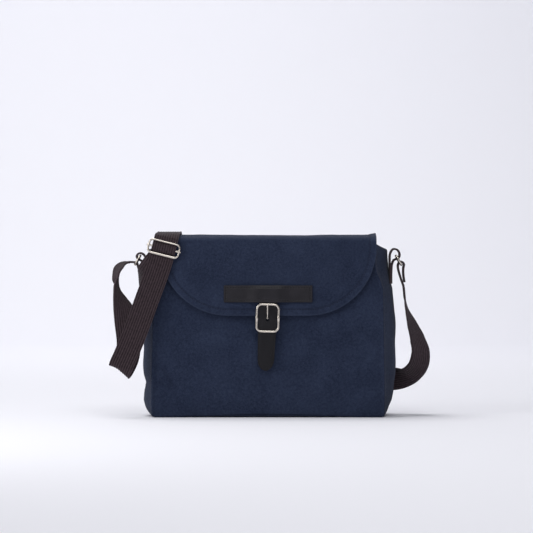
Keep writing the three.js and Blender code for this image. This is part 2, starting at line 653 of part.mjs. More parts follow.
// ---- Webbing --------------------------------------------------------------------------
// A curve that carries the direction of the webbing's width along with it.
class WebbingCurve extends THREE.CatmullRomCurve3 {
  constructor(stations) {
    super(stations.map(([x, y, z]) => new THREE.Vector3(x, y, z)));
    this.widths = stations.map((s) => new THREE.Vector3(s[3], s[4], s[5]).normalize());
  }

  computeFrenetFrames(segments) {
    const frames = { tangents: [], normals: [], binormals: [] };
    for (let i = 0; i <= segments; i++) {
      const along = this.getTangentAt(i / segments);
      const at = this.getUtoTmapping(i / segments) * (this.widths.length - 1);
      const before = Math.min(Math.floor(at), this.widths.length - 2);
      const width = this.widths[before].clone().lerp(this.widths[before + 1], at - before);
      width.addScaledVector(along, -width.dot(along)).normalize();
      frames.tangents.push(along);
      frames.normals.push(width);
      frames.binormals.push(new THREE.Vector3().crossVectors(along, width));
    }
    return frames;
  }
}

const webChamfer = 0.3 * WEB;
const [webX, webY] = [WEB_WIDTH / 2, WEB / 2];
const webSection = new THREE.Shape([
  new THREE.Vector2(-webX, -webY + webChamfer),
  new THREE.Vector2(-webX + webChamfer, -webY),
  new THREE.Vector2(webX - webChamfer, -webY),
  new THREE.Vector2(webX, -webY + webChamfer),
  new THREE.Vector2(webX, webY - webChamfer),
  new THREE.Vector2(webX - webChamfer, webY),
  new THREE.Vector2(-webX + webChamfer, webY),
  new THREE.Vector2(-webX, webY - webChamfer),
]);

function webbing(name, stations, steps) {
  add(name, "webbing", new THREE.ExtrudeGeometry(webSection,
    { extrudePath: new WebbingCurve(stations), steps, bevelEnabled: false }));
}

webbing("strap_back_run", BACK_RUN, 28);
webbing("strap_over_flap", OVER_FLAP, 12);
webbing("strap_diagonal", DIAGONAL, 18);
webbing("strap_left_loop", LEFT_LOOP, 22);
webbing("strap_inner_run", INNER_RUN, 10);

// Webbing threaded behind the slider's long bars and over its centre bar.
const weaveLow = sliderY - outerWebY;
const weaveHigh = SLIDER_BAR / 2 + GAP + WEB / 2 + 0.2;
const weaveBar = SLIDER_PITCH / 2;
const weave = [
  [-weaveBar - 4, weaveLow],
  [-weaveBar, weaveLow],
  [-weaveBar + 2.6, weaveLow + 0.7],
  [-weaveBar / 4, weaveHigh - 0.7],
  [0, weaveHigh],
  [weaveBar / 4, weaveHigh - 0.7],
  [weaveBar - 2.6, weaveLow + 0.7],
  [weaveBar, weaveLow],
  [weaveBar + 4, weaveLow],
];
slider.add(add("strap_slider_wrap", "webbing",
  alongX(stripShape(weave, WEB, 32), WEB_WIDTH)));

// The bight over the left ring's lower bar.
const bightRadius = RING_WIRE / 2 + GAP + WEB / 2 + 0.1;
const bight = [];
bight.push([-lowerBarX - 4, lowerBarZ + bightRadius]);
for (const degrees of [90, 66, 42, 17]) {
  const turn = THREE.MathUtils.degToRad(degrees);
  bight.push([-lowerBarX + bightRadius * Math.cos(turn), lowerBarZ + bightRadius * Math.sin(turn)]);
}
bight.push([-lowerBarX + bightRadius + 1.2, lowerBarZ - 3]);
add("strap_left_bight", "webbing", slab(stripShape(bight, WEB, 14), WEB_WIDTH / 2, WEB_WIDTH));

// The strap's end, turned round the right ring's lower bar and sewn to itself.
const endHead = barHole + WEB + END_ROLL;
const endOuter = lowerBarX + WEB - 0.2;
const endShape = new THREE.Shape();
endShape.moveTo(endOuter, lowerBarZ - END_DROP);
for (let i = 0; i <= 10; i++) {
  const turn = THREE.MathUtils.degToRad(-20 + (220 * i) / 10);
  endShape.lineTo(lowerBarX + endHead * Math.cos(turn), lowerBarZ + endHead * Math.sin(turn));
}
endShape.lineTo(endOuter - 2 * WEB, lowerBarZ - END_DROP);
endShape.holes.push(circle(lowerBarX, lowerBarZ, barHole));
add("strap_right_end", "webbing", slab(endShape, WEB_WIDTH / 2, WEB_WIDTH, 6));

export default bag;
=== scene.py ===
# %% [markdown]
# A canvas messenger bag with a leather closing strap and a long webbing shoulder strap.
# The packed model already holds the sizes, the joints and the hard pieces. It is loaded first,
# because everything sewn, woven or bent here is laid over it, in metres and in the same place.

# %% Load the packed model
import json
import math

import bmesh
import bpy
import numpy as np
from mathutils import Matrix, Vector, noise


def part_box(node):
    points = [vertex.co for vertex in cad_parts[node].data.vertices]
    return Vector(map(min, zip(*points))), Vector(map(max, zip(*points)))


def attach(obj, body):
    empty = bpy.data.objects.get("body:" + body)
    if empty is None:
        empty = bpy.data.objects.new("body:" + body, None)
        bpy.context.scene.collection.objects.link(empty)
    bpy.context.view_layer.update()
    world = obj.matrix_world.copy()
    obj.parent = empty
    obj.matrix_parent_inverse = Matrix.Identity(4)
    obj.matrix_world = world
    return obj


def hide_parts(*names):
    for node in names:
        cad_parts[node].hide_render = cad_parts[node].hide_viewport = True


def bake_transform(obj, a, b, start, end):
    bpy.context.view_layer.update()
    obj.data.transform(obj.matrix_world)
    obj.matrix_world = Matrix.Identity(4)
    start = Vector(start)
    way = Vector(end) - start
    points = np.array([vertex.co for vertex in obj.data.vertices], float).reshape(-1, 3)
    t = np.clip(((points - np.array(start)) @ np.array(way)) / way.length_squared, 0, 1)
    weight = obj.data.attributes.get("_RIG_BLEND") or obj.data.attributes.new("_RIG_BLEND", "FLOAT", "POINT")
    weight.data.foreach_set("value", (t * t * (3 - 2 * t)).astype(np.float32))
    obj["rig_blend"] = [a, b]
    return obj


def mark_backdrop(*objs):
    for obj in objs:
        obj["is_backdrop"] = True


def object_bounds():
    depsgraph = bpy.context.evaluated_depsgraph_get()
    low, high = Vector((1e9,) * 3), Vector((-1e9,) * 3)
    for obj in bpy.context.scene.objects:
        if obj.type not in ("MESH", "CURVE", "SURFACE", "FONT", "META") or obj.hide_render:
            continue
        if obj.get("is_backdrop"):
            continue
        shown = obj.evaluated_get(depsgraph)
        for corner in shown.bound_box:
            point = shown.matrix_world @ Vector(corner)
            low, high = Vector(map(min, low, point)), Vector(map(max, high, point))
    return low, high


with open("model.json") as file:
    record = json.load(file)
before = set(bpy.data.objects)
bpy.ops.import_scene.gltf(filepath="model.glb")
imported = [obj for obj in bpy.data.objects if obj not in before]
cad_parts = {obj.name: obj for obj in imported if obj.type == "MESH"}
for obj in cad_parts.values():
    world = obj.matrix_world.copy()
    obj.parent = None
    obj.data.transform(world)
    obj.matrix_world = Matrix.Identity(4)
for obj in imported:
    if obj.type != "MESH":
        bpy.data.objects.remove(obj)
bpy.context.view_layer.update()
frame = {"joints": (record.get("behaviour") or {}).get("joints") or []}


def rounded(values):
    """Sizes to a tenth of a millimetre, for printing."""
    return [round(x, 4) for x in values]


# %% [markdown]
# A long lens, far away and low, keeps the bag's sides from converging. The camera looks at a
# point above the bag's middle, so the bag stands low in a square frame with room above it.

# %% Camera
VIEW_TARGET = Vector((-0.002, -0.05, 0.187))
VIEW_WIDTH = 0.661      # width seen at the target
VIEW_DISTANCE = 5.0
VIEW_ELEVATION = math.radians(0.8)
SENSOR = 36

lens = bpy.data.cameras.new("camera")
lens.sensor_width = SENSOR
lens.lens = SENSOR * VIEW_DISTANCE / VIEW_WIDTH
camera = bpy.data.objects.new("camera", lens)
bpy.context.collection.objects.link(camera)
backwards = Vector((0, -math.cos(VIEW_ELEVATION), math.sin(VIEW_ELEVATION)))
camera.location = VIEW_TARGET + VIEW_DISTANCE * backwards
camera.rotation_euler = (-backwards).to_track_quat("-Z", "Y").to_euler()
bpy.context.scene.camera = camera
bpy.context.scene.view_settings.view_transform = "Standard"
print("lens", round(lens.lens), "mm")

# %% [markdown]
# The shoulder strap is one length of 30 mm cotton webbing. A flat strap has a middle line and,
# at each point of it, a direction in which its width lies. Both are given station by station,
# along the way the strap really takes: from its sewn end on the right ring, down
# beside the bag, up the back, over the flap, through the slider, down to a fold, and back up to
# the left ring and the slider. Each station is x, y, z and then the direction of the width.

# %% Stations of the strap
SEWN_END = [
    [0.1706, 0, 0.1668, 0, 1, 0],
    [0.1693, 0, 0.176, 0, 1, 0],
    [0.1692, 0, 0.184, 0, 1, 0],
    [0.17, 0, 0.1894, 0, 1, 0],
    [0.1678, 0, 0.1922, 0, 1, 0],
    [0.1647, 0, 0.192, 0, 1, 0],
    [0.1628, 0, 0.189, 0, 1, 0],
    [0.1626, 0, 0.185, 0, 1, 0],
    [0.1645, 0, 0.177, 0, 1, 0],
    [0.1672, 0, 0.1685, 0, 1, 0],
]
BACK_RUN = [
    [0.1696, 0, 0.1615, 0, 1, 0],
    [0.171, 0, 0.148, 0, 1, 0],
    [0.174, -0.0005, 0.132, 0.12, 1, 0],
    [0.18, 0.001, 0.115, 0.42, 0.9, -0.05],
    [0.187, 0.004, 0.096, 0.62, 0.77, -0.12],
    [0.191, 0.008, 0.079, 0.7, 0.68, -0.2],
    [0.189, 0.016, 0.063, 0.74, 0.6, -0.28],
    [0.18, 0.029, 0.0505, 0.7, 0.5, -0.45],
    [0.165, 0.043, 0.0445, 0.35, 0.3, -0.88],
    [0.143, 0.053, 0.0425, 0.08, 0.1, -1],
    [0.11, 0.058, 0.0415, 0, 0, -1],
    [0.07, 0.06, 0.043, -0.06, 0, -1],
    [0.03, 0.061, 0.052, -0.25, 0, -0.97],
]
UP_THE_BACK = [
    [-0.008, 0.061, 0.066, -0.42, 0, -0.9],
    [-0.045, 0.06, 0.088, -0.58, 0, -0.81],
    [-0.078, 0.058, 0.117, -0.75, 0, -0.66],
    [-0.102, 0.056, 0.15, -0.88, 0, -0.47],
    [-0.116, 0.054, 0.181, -0.96, 0, -0.27],
    [-0.1232, 0.0508, 0.213, -1, 0, -0.04],
    [-0.1237, 0.047, 0.225, -1, 0, 0],
    [-0.124, 0.038, 0.2285, -1, 0, 0],
    [-0.124, 0.018, 0.2284, -1, 0, 0],
    [-0.124, -0.004, 0.228, -1, 0, 0],
    [-0.1242, -0.024, 0.2277, -1, 0, 0],
    [-0.1248, -0.04, 0.2268, -1, 0, 0.03],
    [-0.126, -0.051, 0.2226, -0.98, 0, 0.16],
]
DIAGONAL = [
    [-0.1325, -0.0539, 0.196, -0.97, 0, 0.24],
    [-0.139, -0.0559, 0.176, -0.95, 0, 0.31],
    [-0.15, -0.0584, 0.146, -0.94, 0, 0.34],
    [-0.16, -0.061, 0.118, -0.94, 0, 0.34],
    [-0.1695, -0.0638, 0.093, -0.93, 0, 0.37],
    [-0.1776, -0.0666, 0.074, -0.88, 0, 0.47],
    [-0.1818, -0.0674, 0.0644, -0.8, 0, 0.6],
]
FOLD = [
    [-0.1832, -0.0656, 0.0596, -0.76, 0, 0.65],
    [-0.1826, -0.061, 0.0588, -0.76, 0, 0.65],
    [-0.18, -0.0574, 0.0624, -0.8, 0, 0.55],
]
LEFT_LOOP = [
    [-0.1746, -0.055, 0.075, -0.93, 0, 0.3],
    [-0.1728, -0.053, 0.093, -0.98, 0, 0.05],
    [-0.1752, -0.05, 0.114, -0.96, -0.22, -0.1],
    [-0.179, -0.045, 0.134, -0.78, -0.6, -0.1],
    [-0.1832, -0.038, 0.15, -0.4, -0.9, -0.05],
    [-0.1866, -0.028, 0.164, 0.06, -1, -0.1],
    [-0.1872, -0.016, 0.1775, 0.2, -0.95, -0.2],
    [-0.1838, -0.0064, 0.1868, 0.12, -0.96, -0.22],
    [-0.1792, -0.001, 0.1908, 0.02, -0.98, -0.16],
    [-0.1754, 0, 0.1918, 0, -1, 0],
]
INNER_RUN = [
    [-0.1615, -0.0006, 0.1802, 0, -1, 0.05],
    [-0.1612, -0.005, 0.1745, 0, -0.93, 0.35],
    [-0.1602, -0.016, 0.1692, -0.05, -0.6, 0.8],
    [-0.1575, -0.029, 0.169, -0.15, -0.2, 0.97],
    [-0.153, -0.041, 0.1735, -0.5, 0.1, 0.86],
    [-0.1475, -0.049, 0.181, -0.85, 0.1, 0.5],
    [-0.1412, -0.0518, 0.1895, -0.96, 0, 0.28],
    [-0.134, -0.0514, 0.1984, -0.97, 0, 0.24],
]
WEB_WIDTH = 0.03
WEB = 0.0018            # thickness of the webbing
print(len(SEWN_END + BACK_RUN + UP_THE_BACK + DIAGONAL + FOLD + LEFT_LOOP + INNER_RUN), "stations")

# %% [markdown]
# Where the strap is threaded, its way follows the metal. Behind the slider's upper bar, over
# the middle bar and behind the lower bar it makes a small wave, measured from the slider's
# own middle, up along the slider and towards the front. Over the left ring's lower bar it
# turns on an arc.

# %% Threading through the slider and over the left ring
slider_low, slider_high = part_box("slider_frame")
SLIDER_MIDDLE = (slider_low + slider_high) / 2
SLIDER_TILT = math.radians(14)
SLIDER_UP = Vector((math.sin(SLIDER_TILT), 0, math.cos(SLIDER_TILT)))
SLIDER_ACROSS = Vector((math.cos(SLIDER_TILT), 0, -math.sin(SLIDER_TILT)))
FRONT = Vector((0, -1, 0))
THREADING = [           # up along the slider, towards the front
    [0.0082, -0.0024], [0.0056, -0.0017], [0.00205, 0.0018], [0, 0.0025],
    [-0.00205, 0.0018], [-0.0056, -0.0017], [-0.0082, -0.0024],
]
THROUGH_SLIDER = [
    [*(SLIDER_MIDDLE + up * SLIDER_UP + out * FRONT), *(-SLIDER_ACROSS)] for up, out in THREADING
]

RING_WIRE = 0.003
RING_PITCH = 0.0126     # between the ring's two long bars
RING_TILT = math.radians(30)
RINGS = (("left", -1, "ring_left"), ("right", 1, "ring_right"))
ring_joint = {j["child"]: Vector(j["pos_m"]) for j in frame["joints"]}
LOWER_BAR = {
    side: ring_joint[body]
    + RING_PITCH * Vector((sign * math.sin(RING_TILT), 0, -math.cos(RING_TILT)))
    for side, sign, body in RINGS
}
TURN_RADIUS = RING_WIRE / 2 + WEB / 2 + 0.0004
OVER_RING = [
    [*(LOWER_BAR["left"] + TURN_RADIUS * Vector((math.cos(a), 0, math.sin(a)))), 0, -1, 0]
    for a in map(math.radians, (90, 62, 34, 8))
]
print("middle of the slider", rounded(SLIDER_MIDDLE))


# %% [markdown]
# A strap bends like a thin spring, so its middle line is one smooth curve through the
# stations. A centripetal Catmull-Rom curve passes through every station without overshooting
# where two stations lie close together, as they do at the slider and at the fold.

# %% A smooth line through stations
SAMPLES = 24            # between one station and the next


def smooth_path(stations, step):
    """Evenly spaced middle points of one curve through the stations, and the width's directions."""
    points = np.array([s[:3] for s in stations], float)
    widths = np.array([s[3:] for s in stations], float)
    widths /= np.linalg.norm(widths, axis=1)[:, None]
    points = np.vstack([2 * points[0] - points[1], points, 2 * points[-1] - points[-2]])
    line, turn = [], []
    for i in range(1, len(points) - 2):
        p0, p1, p2, p3 = points[i - 1:i + 3]
        d0, d1, d2 = (math.sqrt(np.linalg.norm(b - a)) for a, b in ((p0, p1), (p1, p2), (p2, p3)))
        leave = ((p1 - p0) / d0 - (p2 - p0) / (d0 + d1) + (p2 - p1) / d1) * d1
        arrive = ((p2 - p1) / d1 - (p3 - p1) / (d1 + d2) + (p3 - p2) / d2) * d1
        t = np.linspace(0, 1, SAMPLES, endpoint=i == len(points) - 3)[:, None]
        line.append((2 * t**3 - 3 * t**2 + 1) * p1 + (t**3 - 2 * t**2 + t) * leave
                    + (3 * t**2 - 2 * t**3) * p2 + (t**3 - t**2) * arrive)
        turn.append(widths[i - 1] + (widths[i] - widths[i - 1]) * t)
    line, turn = np.vstack(line), np.vstack(turn)
    along = np.concatenate([[0], np.cumsum(np.linalg.norm(np.diff(line, axis=0), axis=1))])
    at = np.linspace(0, along[-1], max(2, round(along[-1] / step) + 1))
    line = np.stack([np.interp(at, along, line[:, k]) for k in range(3)], axis=1)
    turn = np.stack([np.interp(at, along, turn[:, k]) for k in range(3)], axis=1)
    return line, turn


def nearest(line, station):
    """The number of the line's point that is nearest to a station."""
    return int(np.linalg.norm(line - np.array(station[:3]), axis=1).argmin())


WEB_STEP = 0.0016
strap_line, strap_turn = smooth_path(
    SEWN_END + BACK_RUN + UP_THE_BACK + THROUGH_SLIDER + DIAGONAL + FOLD + LEFT_LOOP + OVER_RING
    + INNER_RUN, WEB_STEP)
strap_length = np.linalg.norm(np.diff(strap_line, axis=0), axis=1).sum()
print("webbing in the shoulder strap", round(strap_length, 3), "m")

# %% [markdown]
# Two small curves shape most of what follows: a number held between 0 and 1, for a slope that
# starts and stops, and a hill that stands at one place and falls away softly around it.

# %% Clamp and hill
def clamp(value):
    return min(1.0, max(0.0, value))


def hill(distance, reach):
    return math.exp(-((distance / reach) ** 2))


print("a hill at its reach", round(hill(1, 1), 3))

# %% [markdown]
# Every cloth or leather piece here starts as a flat grid, as the real one starts as a flat
# cut. A placing function then moves each grid point to where it lies on the bag, and the flat
# cut's own measure stays behind as a UV map in metres, so that a weave follows the cloth
# round every bend. Thickness comes last, with Solidify, and Bevel rounds the cut edges.

# %% Helpers for sheets
def put_in_scene(name, bm):
    """The bmesh as a named piece of the scene, smooth shaded, at the origin."""
    mesh = bpy.data.meshes.new(name)
    bm.to_mesh(mesh)
    bm.free()
    mesh.shade_smooth()
    piece = bpy.data.objects.new(name, mesh)
    bpy.context.collection.objects.link(piece)
    return piece


def grid_sheet(name, across, along, flat, place, missing=None):
    """A grid of the flat size, its points moved by place(u, v), with u and v from 0 to 1."""
    bm = bmesh.new()
    bmesh.ops.create_grid(bm, x_segments=across, y_segments=along, size=0.5)
    shares = {v: (v.co.x + 0.5, v.co.y + 0.5) for v in bm.verts}
    weave = bm.loops.layers.uv.new("cloth")
    for face in bm.faces:
        for corner in face.loops:
            u, v = shares[corner.vert]
            corner[weave].uv = (u * flat[0], v * flat[1])
    if missing:
        holes = [
            f for f in bm.faces if missing(*[sum(shares[v][k] for v in f.verts) / 4 for k in (0, 1)])
        ]
        bmesh.ops.delete(bm, geom=holes, context="FACES")
    for vert in bm.verts:
        vert.co = place(*shares[vert])
    return put_in_scene(name, bm)


print("a sheet is a grid, placed point by point")

# %% [markdown]
# Real cloth and leather have two faces and a soft cut edge. Solidify and Bevel make both from
# one sheet, and keeping their result as a mesh lets each piece be measured as it really is.

# %% Thickness and edges
SHARP = math.radians(50)


def settle(piece):
    """Keeps what the modifiers make as the piece's own mesh, with its sharp edges marked."""
    graph = bpy.context.evaluated_depsgraph_get()
    made = bpy.data.meshes.new_from_object(piece.evaluated_get(graph))
    piece.modifiers.clear()
    piece.data = made
    made.set_sharp_from_angle(angle=SHARP)
    return piece


def thicken(piece, thickness, edge, rim=0):
    """Gives a sheet its thickness, half to each side, and rounds its edges."""
    solid = piece.modifiers.new("thickness", "SOLIDIFY")
    solid.thickness = thickness
    solid.offset = 0
    solid.material_offset_rim = rim
    soft = piece.modifiers.new("edge", "BEVEL")
    soft.width = edge
    soft.segments = 2
    soft.limit_method = "ANGLE"
    soft.angle_limit = math.radians(60)
    return settle(piece)


print("edges sharper than", round(math.degrees(SHARP)), "degrees stay sharp")


# %% [markdown]
# Webbing is woven in lengthwise ribs. The ribs are real shape here, a small wave across the
# width, because they show along every edge and bend. The selvedges at both sides stay flat.

# %% Webbing
RIBS = 9
RIB_DEPTH = 0.0005
COLUMNS = 4 * RIBS + 4


def webbing(name, line, turn):
    """A ribbed strip of webbing along a line."""
    along = np.gradient(line, axis=0)
    along /= np.linalg.norm(along, axis=1)[:, None]
    side = turn - (turn * along).sum(1)[:, None] * along
    side /= np.linalg.norm(side, axis=1)[:, None]
    out = np.cross(along, side)
    last = len(line) - 1

    def place(u, v):
        i = round(v * last)
        rib = math.sin(math.pi * RIBS * (u * COLUMNS - 2) / (COLUMNS - 4)) if 0.04 < u < 0.96 else 0
        height = RIB_DEPTH * (abs(rib) ** 0.7 - 0.5)
        return Vector(line[i] + side[i] * (u - 0.5) * WEB_WIDTH + out[i] * height)

    length = np.linalg.norm(np.diff(line, axis=0), axis=1).sum()
    piece = grid_sheet(name, COLUMNS, last, (WEB_WIDTH, length), place)
    return thicken(piece, WEB, edge=0.0004)


ends = {
    "sewn": nearest(strap_line, BACK_RUN[0]),
    "back": nearest(strap_line, BACK_RUN[-1]),
    "slider": nearest(strap_line, UP_THE_BACK[-1]),
    "fold": nearest(strap_line, FOLD[1]),
    "inner": nearest(strap_line, INNER_RUN[2]),
}
STRETCHES = {
    "strap_sewn_end": (0, ends["sewn"]),
    "strap_beside_bag": (ends["sewn"], ends["back"]),
    "strap_up_the_back": (ends["back"], ends["slider"]),
    "strap_down_the_front": (ends["slider"], ends["fold"]),
    "strap_left_bend": (ends["fold"], ends["inner"]),
    "strap_behind": (ends["inner"], len(strap_line) - 1),
}
straps = {}
for name, (a, b) in STRETCHES.items():
    straps[name] = webbing(name, strap_line[a:b + 1], strap_turn[a:b + 1])
    print(name, round(WEB_STEP * (b - a), 3), "m,", len(straps[name].data.polygons), "faces")

# %% [markdown]
# The body is one shell of 16 oz cotton canvas: a front and a back panel, and a gusset at each
# side that bulges outwards because the panels push it open. Cloth has no corners of its own,
# so the shell is one loft round the bag, closer set where the seams stand up, and its long
# soft dents are noise of a few centimetres, the way washed canvas sags between its seams.

# %% Shape of the body
CANVAS = 0.0016
panel_low, panel_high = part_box("front_panel")
BODY_TOP = panel_high.z
BASE_DEPTH = -panel_low.y - CANVAS / 2          # half the depth at the base
MOUTH_DEPTH = BASE_DEPTH - 0.0072
OUTLINE = {             # height: half the width at the seams, at mid depth left, at mid depth right
    0: (0.142, 0.1425, 0.143), 0.003: (0.143, 0.1468, 0.1462), 0.0068: (0.1433, 0.1498, 0.148),
    0.0123: (0.1433, 0.1525, 0.1502), 0.0196: (0.1433, 0.155, 0.1542), 0.03: (0.1433, 0.1552, 0.1572),
    0.0423: (0.1432, 0.1526, 0.158), 0.0514: (0.1431, 0.1542, 0.1585), 0.083: (0.1428, 0.1548, 0.159),
    0.1147: (0.1422, 0.1568, 0.1582), 0.1359: (0.142, 0.1566, 0.1566), 0.1588: (0.1415, 0.1535, 0.1545),
    0.17: (0.1382, 0.1515, 0.1514), 0.18: (0.1335, 0.15, 0.1502), 0.19: (0.1322, 0.1495, 0.1498),
    0.2063: (0.1318, 0.1487, 0.1487), 0.216: (0.1318, 0.145, 0.145),
}
PERIMETER = (0.36, 0.14, 0.36, 0.14)            # shares of front, gusset, back, gusset
COLUMNS_ROUND, ROWS_UP = 300, 90
GUSSET_DIP = 0.0085                             # of the gusset's hem, below the panels' corners
SEAM_RISE, SEAM_REACH = 0.0017, 0.002
SEAM_AT_MOUTH = 0.3     # share of the rise left where the flap opens over it


def outline(z, sign):
    """Half the width at the seams and at mid depth, on the left (-1) or the right (1)."""
    columns = list(zip(*OUTLINE.values()))
    return [float(np.interp(z, list(OUTLINE), columns[k])) for k in (0, 1 if sign < 0 else 2)]


print("mouth at", round(BODY_TOP, 4), "m")

# %% [markdown]
# Washed canvas dents softly between its seams and creases where it is pushed together. Dents
# are noise, and each crease is a ridge along a short path on the front.

# %% Sag and creases
def sag(x, y, z):
    """Soft dents, in metres outwards."""
    broad = noise.noise(Vector((x * 14, y * 14, z * 11)))
    close = noise.noise(Vector((x * 38 + 5, y * 38, z * 26)))
    fine = noise.noise(Vector((x * 90, y * 90 + 9, z * 70)))
    return 0.0013 * broad + 0.0006 * close + 0.00022 * fine


def ridge(point, path, height, reach):
    """A crease that stands up along a path in the plane of x and z."""
    near = 1.0
    p = np.array(point)
    for a, b in zip(np.array(path), np.array(path[1:])):
        t = np.clip(np.dot(p - a, b - a) / np.dot(b - a, b - a), 0, 1)
        near = min(near, float(np.linalg.norm(p - a - t * (b - a))))
    return height * hill(near, reach)


FRONT_CREASES = [
    ([(-0.14, 0.078), (-0.134, 0.066), (-0.131, 0.052)], 0.0024, 0.006),
    ([(-0.126, 0.09), (-0.119, 0.064), (-0.117, 0.05)], 0.0014, 0.008),
    ([(-0.1456, 0.0605), (-0.141, 0.054), (-0.1283, 0.0487), (-0.1246, 0.0423)], 0.0042, 0.005),
    ([(0.141, 0.03), (0.122, 0.022), (0.104, 0.02)], 0.0011, 0.005),
    ([(-0.14, 0.024), (-0.118, 0.016), (-0.092, 0.014)], 0.001, 0.005),
    ([(0.139, 0.088), (0.126, 0.066), (0.122, 0.046)], 0.001, 0.006),
]
print(len(FRONT_CREASES), "creases on the front")

# %% [markdown]
# One function gives any point of the shell, so the canvas and its lining share a shape. Columns
# are crowded towards the seams, where the shape turns fastest.

# %% A point of the shell
def crowd(t):
    """Moves columns towards the two seams of a panel."""
    return t - 0.8 * math.sin(2 * math.pi * t) / (2 * math.pi)


def arch(x, y):
    """How far the front's lower edge is drawn up in its middle."""
    return 0.0034 * math.cos(math.pi * x / 0.29) ** 2 * max(0.0, 1 - (BASE_DEPTH + y) / 0.005)


def body_point(u, v, inset=0.0, top=BODY_TOP, low=0.0, seams=1.0):
    """A point of the shell, u round it from the front's left seam, v up."""
    side, start = 0, 0.0
    while side < 3 and u > start + PERIMETER[side] - 1e-9:
        start += PERIMETER[side]
        side += 1
    t = clamp((u - start) / PERIMETER[side])
    t = crowd(t)
    sign = (1, 1, -1, -1)[side]
    across = 2 * t - 1
    bulge = max(0.0, math.cos(math.pi * across / 2)) ** 1.35 if side % 2 else 0.0
    z = low + v * (top - GUSSET_DIP * bulge - low)
    if side == 0:
        z += arch(across * 0.142, -BASE_DEPTH) * (1 - v) ** 12
    wide, widest = outline(z, sign)
    wide, widest = wide - inset, widest - inset
    deep = BASE_DEPTH + (MOUTH_DEPTH - BASE_DEPTH) * z / BODY_TOP - inset
    deep -= 0.0016 * hill(z, 0.003)
    gap = (1 - abs(across)) * (wide if side % 2 == 0 else deep)
    seam = seams * SEAM_RISE * hill(gap, SEAM_REACH)
    seam *= min(1, SEAM_AT_MOUTH + (BODY_TOP - z) / 0.04)
    dent = sag(sign * (across if side % 2 == 0 else 2) * wide, sign * deep, z) * min(1, gap / 0.012)
    dent *= min(1, z / 0.01) * clamp((BODY_TOP - z) / 0.02)
    if side % 2:
        dent *= 0.9
        bow = 0.001 * math.sin(z * 115 + 0.6) * bulge * (1 - z / BODY_TOP)
        return Vector((sign * (wide + (widest - wide) * bulge + dent + bow + 0.5 * seam),
                       sign * across * deep + math.copysign(0.5 * seam, sign * across), z))
    x = sign * across * (wide + 0.5 * seam)
    if side == 0:
        dent = min(dent, 0.0002) if z > 0.118 or (abs(x) < 0.016 and z > 0.055) else dent
        folds = sum(ridge((x, z), *c) for c in FRONT_CREASES) * abs(seams)
        folds -= 0.0012 * hill(z - 0.112, 0.016)
        dent += folds * min(1, gap / 0.01)
    return Vector((x, -sign * (deep + dent + seam), z))


print("front left seam at the mouth", rounded(body_point(0, 1)))

# %% [markdown]
# The shell is a grid bent round until its ends meet, and the base is a second grid sewn in
# under it. Both stand on the floor, so they keep to the packed model's height.

# %% Body and base
WELD = 0.00005          # points this near are one


def joined(piece):
    """Sews a loft's two ends together."""
    bm = bmesh.new()
    bm.from_mesh(piece.data)
    bmesh.ops.remove_doubles(bm, verts=bm.verts, dist=WELD)
    bmesh.ops.recalc_face_normals(bm, faces=bm.faces)
    bm.to_mesh(piece.data)
    bm.free()
    return piece


ROUND = (0.79, 0.22)
shell = joined(grid_sheet("body_canvas", COLUMNS_ROUND, ROWS_UP, ROUND,
                          lambda u, v: body_point(u, v, low=0.0008)))
thicken(shell, CANVAS, edge=0.0005)


def base_point(u, v, inset, z):
    """A point of the base, out to the shell at every side."""
    y = (2 * v - 1) * (BASE_DEPTH - inset)
    wide = 0.1418 - inset + 0.0006 * math.cos(math.pi * (v - 0.5))
    x = (2 * u - 1) * wide
    return Vector((x, y, z + arch(x, y)))


base = grid_sheet("body_base", 90, 32, (0.285, 0.1), lambda u, v: base_point(u, v, 0.0008, 0.0009))
thicken(base, CANVAS, edge=0.0005)
for piece in (shell, base):
    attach(piece, "body")
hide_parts("front_panel", "back_panel", "left_gusset", "right_gusset")
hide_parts("bottom_panel")
print("body", rounded(shell.dimensions))

# %% [markdown]
# The lining is a second, thinner bag sewn in at the mouth only. It hangs a little inside the
# canvas. A slip pocket with a turned hem is sewn to its back, and gapes slightly at the top.

# %% Lining and slip pocket
LINING = 0.0009
LINING_INSET = 0.003
lining = joined(grid_sheet("body_lining", COLUMNS_ROUND // 2, 60, ROUND, lambda u, v: body_point(
    u, v, inset=LINING_INSET, top=BODY_TOP - 0.0025, low=0.005, seams=-0.4)))
thicken(lining, LINING, edge=0.0003)
lining_base = grid_sheet("lining_floor", 60, 24, (0.28, 0.094),
                         lambda u, v: base_point(u, v, 0.0042, 0.0049))
thicken(lining_base, LINING, edge=0.0003)
pocket_low, pocket_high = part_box("slip_pocket")


def pocket_point(u, v):
    z = pocket_low.z + v * (pocket_high.z - pocket_low.z)
    x = pocket_low.x + u * (pocket_high.x - pocket_low.x)
    edge = min(u, 1 - u, v * 0.7)
    gape = 0.0055 * math.sin(math.pi * u) ** 2 * v ** 3
    wall = BASE_DEPTH + (MOUTH_DEPTH - BASE_DEPTH) * z / BODY_TOP - LINING_INSET - 0.0022
    return Vector((x, wall - 0.0012 * min(1, edge / 0.06) - gape, z - 0.002 * math.sin(math.pi * u) * v))


pocket = grid_sheet("slip_pocket_cloth", 75, 52, (0.15, 0.104), pocket_point)
thicken(pocket, LINING, edge=0.0003)
for piece in (lining, lining_base, pocket):
    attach(piece, "body")
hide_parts("lining_front", "lining_back", "lining_left", "lining_right")
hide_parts("lining_base")
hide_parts("slip_pocket")
print("lining", rounded(lining.dimensions))

# %% [markdown]
# The flap is one cut of canvas, sewn to the back panel, lying over the mouth and hanging down
# the front to a rounded lower edge. Its edge is turned in and stitched, so it is double there,
# which shows as a raised band with a line of stitches. Rows of the grid follow the flap's line
# in side view, and over the rounded corners they follow the arc.

